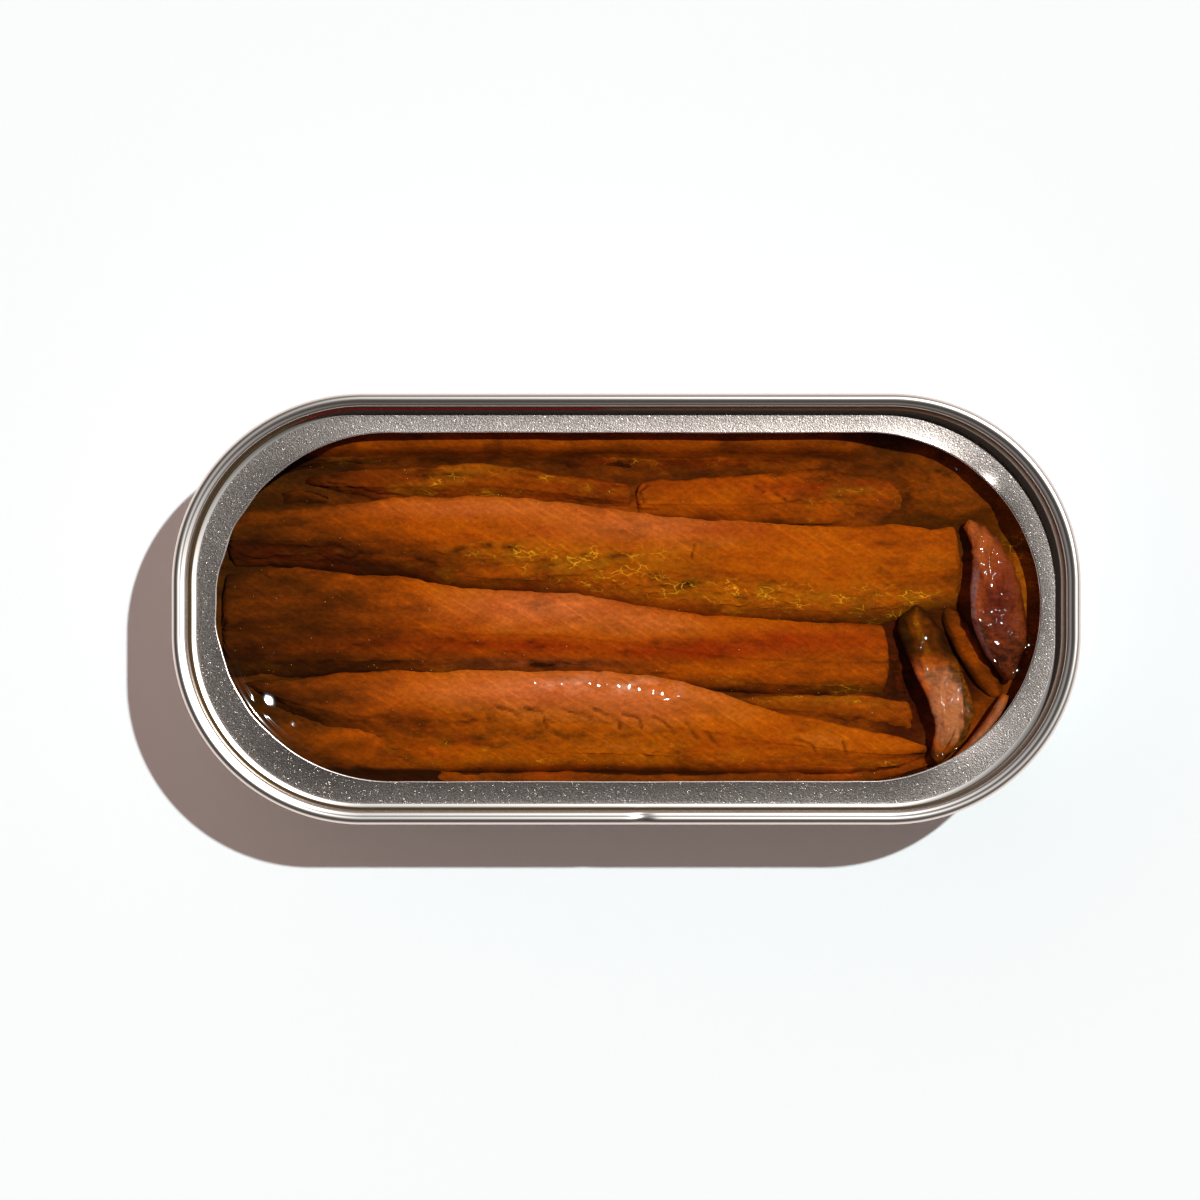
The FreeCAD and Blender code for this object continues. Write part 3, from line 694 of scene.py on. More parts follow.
def reach_to_opening(points, inward):
    """How far each point is from the opening's slot-shaped edge, along its way inward."""
    arm = opening_length - opening_width

    def inside(at):
        local = at - opening_mid
        over = np.maximum(np.abs(local[:, 0]) - arm, 0)
        return np.hypot(over, local[:, 1]) - opening_width

    low = np.zeros(len(points))
    high = np.full(len(points), 8.0)
    for _ in range(40):
        middle = (low + high) / 2
        outside = inside(points + inward * middle[:, None]) > 0
        low = np.where(outside, middle, low)
        high = np.where(outside, high, middle)
    return low


def arc(mid, radius, start, end, steps):
    """Points (inset, height) on part of a circle; angles in degrees from the outward side, up."""
    angles = np.radians(np.linspace(start, end, steps))
    return [(mid[0] - radius * math.cos(a), mid[1] + radius * math.sin(a)) for a in angles]


def seam_profile():
    """From the seam's lower lip over its broad crest and inner shoulder, down the wall to a soft bend."""
    top = ring_high[2]
    lip = top - SEAM_HEIGHT
    line = [(0.30, lip + 0.02), (0.16, lip), (0.05, lip + 0.10), (0.0, lip + 0.35)]
    line += [(0.012, lip + 0.8), (0.03, lip + 1.2), (0.012, lip + 1.6)]
    line += arc((0.57, top - 0.579), 0.57, 0, 68, 8)
    line += arc((0.645, top - CREST_RADIUS), CREST_RADIUS, 76, 109, 8)
    shoulder = [(1.0, 0.078), (1.06, 0.100), (1.13, 0.114), (1.2, 0.123), (1.31, 0.140), (1.42, 0.178),
                (1.50, 0.24), (1.54, 0.36), (1.56, 0.55)]
    line += [(inset, top - down) for inset, down in shoulder]
    bend_end = foot_inset + 0.26
    line += [(bend_end - 0.86, top - 1.2), (bend_end - 0.83, ring_z + 0.9), (bend_end - 0.80, ring_z + 0.42),
             (bend_end - 0.77, ring_z + 0.27), (bend_end - 0.71, ring_z + 0.18)]
    for angle in np.radians(np.linspace(21, 0, 8)):
        line.append((bend_end - FOOT_RADIUS * math.sin(angle), ring_z + FOOT_RADIUS * (1 - math.cos(angle))))
    return line


def ring_rise(share):
    """The ring's height at a share of the way in, per unit of its width: steeper near the opening."""
    return math.tan(0.4 * RING_SLOPE) * share + math.tan(1.2 * RING_SLOPE) * share ** 2 / 2


def moved_in(row, inward, distance, height):
    """A row of points moved inward and up."""
    row = row.copy()
    row[:, :2] += inward * np.reshape(distance, (-1, 1))
    row[:, 2] += height
    return row


def ring_piece(material):
    """The seam and what is left of the torn-out end, with a rippled cut edge and small knocks."""
    points, inward = outline(0, RING_POINTS)
    along = points[:, 0] / half_length
    right = ramp(along, 0.55, 0.98)
    stretch = LEAN_AT_RIGHT * right + LEAN_AT_LEFT * ramp(-along, 0.55, 0.98)

    def round_at(inset, z):
        """A row round the seam, further in at the two ends where it is on the leaning wall."""
        lean = stretch * np.clip((inset - SEAM_THICKNESS) / (foot_inset - SEAM_THICKNESS), 0, 1)
        return np.column_stack([points + inward * (inset + lean)[:, None], np.full(RING_POINTS, z)])

    profile = seam_profile()
    lines = [round_at(inset, z) for inset, z in profile]
    start = lines[-1]
    width = reach_to_opening(start[:, :2], inward)
    place = np.arange(RING_POINTS) / RING_POINTS * SEAM_ROUND
    edge = CUT_WAVER * rough(place / 6, place * 0, 61, 4)
    # The cut edge bends unevenly at the left; the ring's slope dies away and turns over toward both ends.
    left = ramp(-along, 0.8, 0.97)
    bent = left * (EDGE_BEND * np.sin(points[:, 1] * 0.9 + 0.6)
                   + EDGE_BEND * bumps(place / 2.1, place * 0, 63))
    flatter = 1 - 1.8 * ramp(along, 0.65, 0.97) - 0.7 * ramp(-along, 0.75, 0.98)
    for step in range(1, RING_STEPS + 1):
        share = step / RING_STEPS
        ripple = RING_RIPPLE * rough(place / 9, place * 0 + share, 65, 2) * share
        distance = (width + edge + bent) * share - (0 if step < RING_STEPS else CUT_ROUND)
        lines.append(moved_in(start, inward, distance, width * ring_rise(share) * flatter + ripple))
    lip = lines[-1]
    for distance, down in ((CUT_ROUND * 0.7, 0.03), (CUT_ROUND, CUT_ROUND), (CUT_ROUND, SHEET - CUT_ROUND),
                           (CUT_ROUND * 0.7, SHEET - 0.03), (0.0, SHEET)):
        lines.append(moved_in(lip, inward, distance, -down))
    for share in (0.5, 0.0):
        lines.append(moved_in(start, inward, width * share, width * ring_rise(share) * flatter - SHEET))
    hidden = [(foot_inset - 0.5, ring_z + 0.1), (SEAM_THICKNESS - SHEET, ring_high[2] - 1.0),
              (SEAM_THICKNESS / 2, ring_high[2] - SHEET), (SHEET, ring_high[2] - 0.7),
              (SHEET, ring_high[2] - SEAM_HEIGHT + 0.25)]
    lines += [round_at(inset, z) for inset, z in hidden]
    rows = np.array(lines)
    knock(rows, (0.035, -0.9916666667), reach=0.9, depth=0.22)
    knock(rows, (0.789, 0.5641666667), reach=1.2, depth=-0.22)
    faces = grid_faces(len(lines), RING_POINTS)
    last = (len(lines) - 1) * RING_POINTS
    faces += [[last + a, last + b, b, a] for a, b in
              zip(range(RING_POINTS), list(range(1, RING_POINTS)) + [0])]
    piece = make_mesh("seamed_ring", rows.reshape(-1, 3), faces)
    settle_normals(piece)
    past_profile = len(lines) - len(profile)
    inset_of = np.array([inset for inset, z in profile] + [foot_inset + 1] * past_profile)
    # A thin red tint lies along the foot of the inner wall at the back.
    band = hill(inset_of - foot_inset + 0.46, 0.14)
    back = ramp(points[:, 1] / half_width, 0.9, 0.98) * (0.25 + 0.75 * ramp(-along, 0.02, 0.08))
    mark(piece, "red_foot_line", band[:, None] * back[None, :])
    # The inner wall's brown tint: partly varnish, partly painted shade, weaker toward the right-hand end.
    wall = (inset_of > 1.5) & (inset_of < foot_inset - 0.35)
    mark(piece, "varnish_and_wall_shade", wall[:, None] * (1 - 0.55 * right)[None, :])
    on_ring = np.zeros(len(lines))
    on_ring[len(profile) - 2:len(profile) + RING_STEPS - 1] = 1
    mark(piece, "grained", np.repeat(on_ring[:, None], RING_POINTS, 1))
    piece.data.materials.append(material)
    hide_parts("end_ring")
    return piece


def knock(rows, place, reach, depth):
    """A small dent, or a bent-up place where the depth is negative; its place is in shares of the tin."""
    middle = np.array(place) * (half_length, half_width)
    far = np.hypot(rows[..., 0] - middle[0], rows[..., 1] - middle[1])
    rows[..., 2] -= depth * hill(far, reach)


# ---- Oil ----
def slot_rows(insets):
    """Rows of points round the opening's slot shape, one for each inset; closer where the film glints."""
    arm = opening_length - opening_width
    turn = int(math.pi * opening_width / POOL_STEP)
    fine_end, fine_start = np.array(GLINT_STRETCH) * opening_length
    before = np.linspace(arm, fine_start, int((arm - fine_start) / POOL_STEP), endpoint=False)
    finer = np.linspace(fine_start, fine_end, int((fine_start - fine_end) / FINE_STEP), endpoint=False)
    after = np.linspace(fine_end, -arm, int((fine_end + arm) / POOL_STEP), endpoint=False)
    straight = np.concatenate([before, finer, after])
    rows = []
    for inset in insets:
        radius = opening_width - inset
        angles = np.linspace(-math.pi / 2, math.pi / 2, turn, endpoint=False)
        right = np.column_stack([arm + radius * np.cos(angles), radius * np.sin(angles)])
        back = np.column_stack([straight, np.full(len(straight), radius)])
        rows.append(np.concatenate([right, back, -right, -back]) + opening_mid)
    return np.array(rows)


def food_heights(points, pieces):
    """The highest flesh under each point, or far below where there is none."""
    best = np.full(len(points), NOTHING)
    down = Vector((0, 0, -1))
    high = cad_high.z + 1
    for piece in pieces:
        tree = BVHTree.FromPolygons([v.co for v in piece.data.vertices],
                                    [p.vertices for p in piece.data.polygons])
        corners = np.array([v.co for v in piece.data.vertices]) / MM
        low, top = corners.min(0), corners.max(0)
        near = np.all((points >= low[:2]) & (points <= top[:2]), 1)
        for i in np.flatnonzero(near):
            hit = tree.ray_cast(Vector((points[i, 0] * MM, points[i, 1] * MM, high)), down)[0]
            if hit is not None:
                best[i] = max(best[i], hit.z / MM)
    return best


def bed_height(x, y):
    """The flesh that the fillets lie on: nearer the surface round the ends, deeper under loose ends."""
    u, v = shares(x, y)
    depth = BED_DEPTH + 0.5 * ramp(v, 0.62, 0.75) * ramp(-u, -0.6, -0.45)
    depth = depth + 0.9 * patch(u, v, 0.82, -0.2, 0.06, 0.28) + 1.6 * patch(u, v, 0.69, -0.40, 0.05, 0.24)
    depth = depth + 0.3 * patch(u, v, 0.5, -0.52, 0.3, 0.1) + 0.3 * ramp(-v, 0.88, 0.94) * ramp(u, -0.5, -0.3)
    depth = depth - 1.3 * ramp(u, 0.62, 0.75) * ramp(v, 0.45, 0.6) + 0.5 * ramp(-u, 0.3, 0.8)
    depth = depth - 1.3 * patch(u, v, 0.965, 0.17, 0.05, 0.34) - 1.5 * patch(u, v, -0.68, -0.78, 0.2, 0.16)
    depth = depth + (0.35 - depth) * ramp(v, 0.84, 0.93) * ramp(-u, -0.62, -0.5)
    folds = 0.18 * rough(x / 7, y / 1.8, 77) + 0.14 * rough(x / 2.0, y / 0.8, 79)
    return oil_top - depth + folds


def bed_marks(x, y):
    u, v = shares(x, y)
    blotch = ramp(rough(x / 3, y / 1.4, 81), 0.0, 0.9)
    # Painted shadow: the bed is darkened and reddened in the gaps on both sides of the twisted end, where it
    # lies in shade.
    gap = 1.4 * patch(u, v, 0.675, -0.40, 0.055, 0.28) + 1.2 * patch(u, v, 0.80, -0.32, 0.045, 0.16)
    gap = np.clip(gap, 0, 1)
    dark = 0.45 * blotch + 1.0 * gap + 0.5 * patch(u, v, -0.86, 0.60, 0.06, 0.05) + 0.8 * ramp(-v, 0.94, 0.98)
    gold = 0.5 * patch(u, v, 0.965, 0.17, 0.06, 0.4)
    far_end = ramp(u, 0.55, 0.75) * ramp(v, 0.2, 0.4)
    deep = 0.05 + 0.1 * ramp(-u, 0.5, 0.9) + 0.9 * gap + 0.24 * ramp(v, 0.84, 0.93)
    deep = deep + 0.8 * ramp(-v, 0.93, 0.97)
    return {"pink": 0 * x, "gold": gold, "dark": dark + 0.25 * far_end * blotch,
            "olive": 0.4 * ramp(-u, 0.6, 0.9) + 0.4 * far_end, "red": 0.4 * gap,
            "deep": deep + 0.12 * far_end}


# Where the oil's surface or the wet film shows the lamp, as (u, v), with how curved and how wide each spot
# is.
POOL_SPOTS = [(-0.872, -0.533, 0.028, 1.4), (-0.814, -0.671, 0.12, 0.8), (-0.753, 0.881, 0.3, 0.5),
              (-0.821, 0.549, 0.3, 0.6), (0.726, 0.692, 0.3, 0.6), (0.80, 0.80, 0.3, 0.6)]
FILM_SPOTS = [(0.004, -0.459, 0.018, 0.9), (0.026, -0.470, 0.036, 0.6), (-0.024, -0.450, 0.05, 0.5),
              (-0.052, -0.442, 0.14, 0.45), (-0.074, -0.449, 0.05, 0.55), (-0.096, -0.440, 0.09, 0.45),
              (-0.163, -0.443, 0.11, 0.5), (-0.190, -0.432, 0.2, 0.45), (-0.228, -0.434, 0.15, 0.45),
              (0.060, -0.482, 0.12, 0.45), (0.083, -0.494, 0.09, 0.5)]


def mirror_spot(level, x, y, place, curve, reach, lift=0.0):
    """Levels the surface round a place so that it leans toward the lamp and shows it as a round spot."""
    spot = opening_mid + np.array(place) * (opening_length, opening_width)
    from_x = x - spot[0]
    from_y = y - spot[1]
    far = np.hypot(from_x, from_y)
    weight = np.exp(-(far / reach) ** 4)
    eye = np.array(CAMERA_PLACE) - (*spot, oil_top)
    half = toward_sun + eye / np.linalg.norm(eye)
    height = level.ravel()[far.argmin()] + lift
    leaning = height - (half[0] * from_x + half[1] * from_y) / half[2]
    return level * (1 - weight) + (leaning + curve / 2 * far ** 2) * weight


def oil_insets():
    """How far in the rows of points are, on the oil's surface and on the flesh below it."""
    room = millimetres(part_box("oil")[1])[:2] - opening_mid - (opening_length, opening_width)
    under_ring = room.min() - 0.1
    glint_start, glint_end = np.array(GLINT_BAND) * opening_width
    top = np.concatenate([np.linspace(-under_ring, -1.0, 4, endpoint=False), np.arange(-1.0, 2.0, EDGE_STEP),
                          np.arange(2.0, glint_start, POOL_STEP),
                          np.arange(glint_start, glint_end, FINE_STEP),
                          np.arange(glint_end, opening_width, POOL_STEP), [opening_width]])
    below = np.concatenate([np.linspace(-under_ring, -1.0, 3, endpoint=False),
                            np.arange(-1.0, opening_width, BED_STEP), [opening_width]])
    return top, below


def oil_surface(flat, insets, rows_of_flesh, standing):
    """The oil's height: it climbs at the opening's edge and at what stands out, and films high flesh."""
    x, y = flat[..., 0], flat[..., 1]
    u, v = shares(x, y)
    inset = np.repeat(insets[:, None], flat.shape[1], 1)
    climb = EDGE_CLIMB + EDGE_CLIMB * ramp(-u, 0.5, 0.8) * ramp(-v, -0.9, 0.1) + 0.15 * ramp(-u, 0.6, 0.9)
    level = oil_top + climb * np.exp(-np.maximum(np.maximum(inset, -1 - inset), 0) / MENISCUS)
    level = level + 0.05 * ramp(-u, 0.6, 0.8) * hill(inset - 0.75, 0.16)
    level = np.minimum(level, ring_z - OIL_UNDER_RING)
    for *place, curve, reach in POOL_SPOTS:
        level = mirror_spot(level, x, y, place, curve, reach)
    under = food_heights(flat.reshape(-1, 2), rows_of_flesh).reshape(x.shape)
    for _ in range(4):
        around_it = (under + np.roll(under, 1, 1) + np.roll(under, -1, 1)) / 3
        under = np.where(np.abs(around_it - under) < 1, around_it, under)
    blocked = food_heights(flat.reshape(-1, 2), standing).reshape(x.shape) > oil_top
    far = np.full(x.shape, 99.0)
    for spot in flat[blocked & ~np.roll(blocked, 1, 1)]:
        far = np.minimum(far, np.hypot(x - spot[0], y - spot[1]))
    level = level + FLESH_CLIMB * np.exp(-far / 0.8)
    sparkle = 0.02 * rough(x / 0.8, y / 0.5, 71) + 0.02 * rough(x / 2.4, y / 1.2, 73)
    sparkle = sparkle + 0.05 * bumps(x / 0.55, y / 0.5, 75) * patch(u, v, -0.12, -0.46, 0.28, 0.05)
    lift = under + FILM + sparkle - level
    surface = level + 0.5 * (lift + np.sqrt(lift * lift + 0.01)) * (under > 0)
    for *place, curve, reach in FILM_SPOTS:
        surface = mirror_spot(surface, x, y, place, curve, reach, SPOT_LIFT)
    return surface


def oil_piece(rows_of_flesh, standing, clear, deep):
    """The oil's clear surface and film, over the flesh below, which closes the piece underneath."""
    top_insets, bottom_insets = oil_insets()
    flat = slot_rows(top_insets)
    count, around = flat.shape[:2]
    top = np.dstack([flat, oil_surface(flat, top_insets, rows_of_flesh, standing)])
    below = slot_rows(bottom_insets)
    x, y = below[..., 0], below[..., 1]
    floor = np.dstack([below, bed_height(x, y)])
    points = np.concatenate([top.reshape(-1, 3), floor.reshape(-1, 3)])
    start = count * around
    faces = grid_faces(count, around)
    surface_faces = len(faces)
    faces += [f[::-1] for f in grid_faces(len(bottom_insets), around, first=start)]
    faces += [[i, start + i, start + (i + 1) % around, (i + 1) % around] for i in range(around)]
    piece = make_mesh("oil_pool", points, faces)
    for kind, values in bed_marks(x, y).items():
        mark(piece, kind, np.concatenate([np.zeros(start), np.clip(values, 0, 1).ravel()]))
    piece.data.materials.append(clear)
    piece.data.materials.append(deep)
    numbers = np.zeros(len(piece.data.polygons), np.int32)
    numbers[surface_faces:] = 1
    piece.data.polygons.foreach_set("material_index", numbers)
    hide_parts("oil")
    return piece


# ---- Specks ----
def specks(name, pieces, count, seed, size, material):
    """Tiny crystals and scales scattered on the flesh."""
    chance = np.random.default_rng(seed)
    places = chance.uniform(-1, 1, (count, 2)) * (opening_length, opening_width) + opening_mid
    heights = food_heights(places, pieces)
    points = []
    faces = []
    for place, height in zip(places[heights > 0], heights[heights > 0]):
        wide, deep, tall = size * chance.uniform(0.5, 1.0, 3)
        turn = chance.uniform(0, math.pi)
        ahead = np.array([math.cos(turn), math.sin(turn), 0]) * wide
        beside = np.array([-math.sin(turn), math.cos(turn), 0]) * deep
        above = np.array([0, 0, tall])
        middle = np.array([*place, height])
        first = len(points)
        points += [middle + ahead, middle + beside, middle - ahead, middle - beside]
        points += [middle + above, middle - above]
        for a, b in ((0, 1), (1, 2), (2, 3), (3, 0)):
            faces += [(first + a, first + b, first + 4), (first + b, first + a, first + 5)]
    piece = make_mesh(name, points, faces, smooth=False)
    piece.data.materials.append(material)
    return piece


# ---- Materials ----
# Sizes of the patterns in mm, along, across and up.  The real grain of the ring and of the flesh is finer
# than shows, so it is drawn this coarse.
THREADS = (2.1, 1.0, 1.0)           # the net of torn tissue
THREAD_GROUPS = (2.6, 1.3, 1.3)     # and where some of it shows
DRAW_LINES = (0.5, 0.5, 14)         # left by the drawing die
METAL_GRAIN = (0.15, 0.15, 0.15)
CRYSTALS = (0.19, 0.19, 0.19)       # facets that catch the light

# Patterns of the flesh: sizes, turn, detail, roughness, and the values they are scaled from and to.
FLESH_PATTERNS = {
    "mottle": ((6.5, 2.2, 2.2), 0.0, 6.0, 0.62, (0.3, 0.7, -0.17, 0.17)),      # cloudy depth
    "tatter": ((2.2, 0.9, 0.9), 0.0, 5.0, 0.65, (0.35, 0.62, 0.25, 1.35)),     # breaks up the marks
    "fibre": ((4.5, FIBRE_SPACING / 2, 1.0), -FIBRE_SLANT, 2.0, 0.5, (0.5, 0.78, 0.97, 1.30)),
    "grain": ((0.6, 0.4, 0.4), 0.0, 3.0, 0.65, (0.3, 0.7, 0.78, 1.20)),
}


def colour(code):
    """An sRGB hex value as linear red, green and blue, with alpha."""
    values = [int(code[i:i + 2], 16) / 255 for i in (1, 3, 5)]
    return [v / 12.92 if v <= 0.04045 else ((v + 0.055) / 1.055) ** 2.4 for v in values] + [1.0]


def add(tree, kind, settings=None, **links):
    """Adds a node: settings are its properties and unlinked inputs, links give what feeds its inputs.

    An input goes by its name, with _ for a space in a link, or by its number, as i0.  A link comes from a
    socket, or from a node's first output.
    """
    node = tree.nodes.new("ShaderNode" + kind)

    def socket(name):
        numbered = name[0] == "i" and name[1:].isdigit()
        return node.inputs[int(name[1:]) if numbered else name]

    for name, value in (settings or {}).items():
        if hasattr(node, name) and name not in node.inputs:
            setattr(node, name, value)
        else:
            socket(name).default_value = value
    for name, source in links.items():
        source = source.outputs[0] if hasattr(source, "outputs") else source
        tree.links.new(source, socket(name.replace("_", " ")))
    return node


def stops(node, points):
    """Sets a colour ramp's stops from (place, hex) pairs."""
    elements = node.color_ramp.elements
    while len(elements) < len(points):
        elements.new(0.5)
    for element, (place, code) in zip(elements, points):
        element.position = place
        element.color = colour(code)
    return node


def new_material(name):
    material = bpy.data.materials.new(name)
    material.use_nodes = True
    tree = material.node_tree
    tree.nodes.clear()
    return material, tree


def in_mm(tree, sizes, turn=0.0):
    """The place on the object in mm, turned about the vertical, then divided by the pattern's sizes."""
    place = add(tree, "TexCoord")
    turned = add(tree, "Mapping", {"vector_type": "POINT", "Scale": (1 / MM, 1 / MM, 1 / MM),
                                   "Rotation": (0, 0, turn)}, Vector=place.outputs["Object"])
    return add(tree, "Mapping", {"vector_type": "POINT", "Scale": [1 / size for size in sizes]},
               Vector=turned)


def golden_threads(tree, gold):
    """Torn connective tissue: where thin threads that branch show, on flesh that is marked golden."""
    place = in_mm(tree, THREADS, turn=0.2)
    bend = add(tree, "TexNoise", {"Scale": 0.9, "Detail": 2.0, "Roughness": 0.6}, Vector=place)
    bent = add(tree, "VectorMath", {"operation": "ADD"}, i0=place, i1=bend.outputs["Color"])
    net = add(tree, "TexVoronoi", {"feature": "DISTANCE_TO_EDGE", "Scale": 1.1}, Vector=bent)
    thread = add(tree, "MapRange", {"From Min": 0.045, "From Max": 0.005}, Value=net)
    some = add(tree, "TexNoise", {"Scale": 1.0, "Detail": 2.0}, Vector=in_mm(tree, THREAD_GROUPS))
    part = add(tree, "MapRange", {"From Min": 0.49, "From Max": 0.63, "To Max": 0.85}, Value=some)
    strong = add(tree, "MapRange", {"From Min": 0.10, "From Max": 0.5}, Value=gold)
    seen = add(tree, "Math", {"operation": "MULTIPLY"}, i0=thread, i1=part)
    return add(tree, "Math", {"operation": "MULTIPLY"}, i0=seen, i1=strong)


def flesh_colour(tree, by_depth, tints):
    """Colour of cured flesh through oil, tinted where it is marked, with mottling, fibres and grain."""
    place = add(tree, "NewGeometry")
    split = add(tree, "SeparateXYZ", Vector=place.outputs["Position"])
    depth = add(tree, "MapRange", {"From Min": (oil_top + COLOUR_FROM) * MM,
                                   "From Max": (oil_top - COLOUR_TO) * MM},
                Value=split.outputs["Z"])
    noise = {}
    value = {}
    for name, (sizes, turn, detail, roughness, limits) in FLESH_PATTERNS.items():
        noise[name] = add(tree, "TexNoise", {"Scale": 1.0, "Detail": detail, "Roughness": roughness},
                          Vector=in_mm(tree, sizes, turn))
        scaled = dict(zip(("From Min", "From Max", "To Min", "To Max"), limits), clamp=name != "mottle")
        value[name] = add(tree, "MapRange", scaled, Value=noise[name])
    marked = add(tree, "Attribute", {"attribute_name": "deep"})
    uneven = add(tree, "Math", {"operation": "ADD"}, i0=depth, i1=value["mottle"])
    deeper = add(tree, "Math", {"operation": "ADD"}, i0=uneven, i1=marked.outputs["Fac"])
    base = stops(add(tree, "ValToRGB", Fac=deeper), by_depth).outputs["Color"]
    for name in ("pink", "painted_sheen", "red", "olive", "gold", "dark"):
        share = add(tree, "Attribute", {"attribute_name": name}).outputs["Fac"]
        if name == "gold":
            gold = share
        if name in ("olive", "gold", "dark"):
            share = add(tree, "Math", {"operation": "MULTIPLY", "use_clamp": True}, i0=share,
                        i1=value["tatter"])
        tint = {"data_type": "RGBA", "i7": colour(tints[name])}
        base = add(tree, "Mix", tint, i0=share, i6=base).outputs[2]
    base = add(tree, "Mix", {"data_type": "RGBA", "i7": colour("#F4AA1C")},
               i0=golden_threads(tree, gold), i6=base).outputs[2]
    level = add(tree, "Math", {"operation": "MULTIPLY"}, i0=value["fibre"], i1=value["grain"])
    lit = add(tree, "Mix", {"data_type": "RGBA", "blend_type": "MULTIPLY", "i0": 1.0}, i6=base, i7=level)
    return lit.outputs[2], noise["grain"]


def flesh_material(name, by_depth, tints, relief, finish):
    """Flesh: colours from its highest place to its deepest, tints, relief (strength, mm) and finish."""
    material, tree = new_material(name)
    # the first tint is the light colour of the painted sheen
    every_tint = {"painted_sheen": "#E6AC8C", "olive": "#4A2C02", "gold": "#A45E04", "dark": "#341200", **tints}
    base, height = flesh_colour(tree, by_depth, every_tint)
    strength, deep = relief
    shape = add(tree, "Bump", {"Strength": strength, "Distance": deep * MM}, Height=height)
    surface = add(tree, "BsdfPrincipled", finish, Base_Color=base, Normal=shape)
    add(tree, "OutputMaterial", Surface=surface)
    return material


def cured_flesh():
    """Cured anchovy flesh under oil: dull, as the oil takes its shine, darker and browner with depth."""
    by_depth = [(0.10, "#BE6012"), (0.20, "#B85802"), (0.28, "#B65400"), (0.37, "#AA4A00"), (0.46, "#984100"),
                (0.57, "#803600"), (0.70, "#602800"), (0.88, "#3A1600"), (1.0, "#2A0E00")]
    finish = {"Roughness": 0.8, "Specular IOR Level": 0.04}
    tints = {"pink": "#CC6830", "red": "#962E00"}
    return flesh_material("cured_flesh_under_oil", by_depth, tints, (0.4, 0.08), finish)


def wet_flesh():
    """Flesh that stands out of the oil: pink-tan, under a thin clear film that shines."""
    by_depth = [(0.0, "#B0622E"), (0.12, "#9C4E18"), (0.25, "#7C3E08"), (0.45, "#5E2E02"), (0.7, "#3E1E02")]
    finish = {"Roughness": 0.6, "Specular IOR Level": 0.1, "Coat Weight": 0.7, "Coat Roughness": 0.06}
    tints = {"pink": "#B86E40", "red": "#8E3414"}
    return flesh_material("wet_cured_flesh", by_depth, tints, (0.8, 0.12), finish)


def belly_flesh():
    """Dark belly meat: red-brown to violet, wet, with a silvery skin edge in place of the olive."""
    by_depth = [(0.0, "#8C3C12"), (0.15, "#7A300A"), (0.35, "#5E2608"), (0.6, "#3A1804")]
    finish = {"Roughness": 0.6, "Specular IOR Level": 0.1, "Coat Weight": 0.45, "Coat Roughness": 0.08}
    tints = {"pink": "#AC5218", "red": "#6E1606", "olive": "#7A5E60"}
    return flesh_material("wet_belly_flesh", by_depth, tints, (1.0, 0.2), finish)


def clear_oil():
    """The oil's surface: clear, with a smooth shine; its colour is in what lies under it."""
    material, tree = new_material("clear_oil_surface")
    through = add(tree, "BsdfTransparent", {"Color": colour("#FFFFFF")})
    shine = add(tree, "BsdfAnisotropic", {"Color": colour("#FFFFFF"), "Roughness": 0.05})
    share = add(tree, "Fresnel", {"IOR": 1.47})
    part = add(tree, "Math", {"operation": "MINIMUM", "i1": 0.3}, i0=share)
    mix = add(tree, "MixShader", i0=part, i1=through, i2=shine)
    add(tree, "OutputMaterial", Surface=mix)
    return material


def speck(name, code):
    """A dull salt crystal or a scrap of scale."""
    material, tree = new_material(name)
    surface = add(tree, "BsdfPrincipled", {"Base Color": colour(code), "Roughness": 0.6})
    add(tree, "OutputMaterial", Surface=surface)
    return material


def drawn_metal():
    """Bright drawn aluminium sheet: faint upright lines from the die and a soft, even shine."""
    material, tree = new_material("drawn_aluminium")
    lines = add(tree, "TexNoise", {"Scale": 1.0, "Detail": 3.0}, Vector=in_mm(tree, DRAW_LINES))
    shade = add(tree, "MapRange", {"From Min": 0.3, "From Max": 0.7, "To Min": 0.2, "To Max": 0.32},
                Value=lines)
    shape = add(tree, "Bump", {"Strength": 0.15, "Distance": 0.02 * MM}, Height=lines)
    surface = add(tree, "BsdfPrincipled", {"Base Color": colour("#DAD0CA"), "Metallic": 1.0},
                  Roughness=shade, Normal=shape)
    add(tree, "OutputMaterial", Surface=surface)
    return material


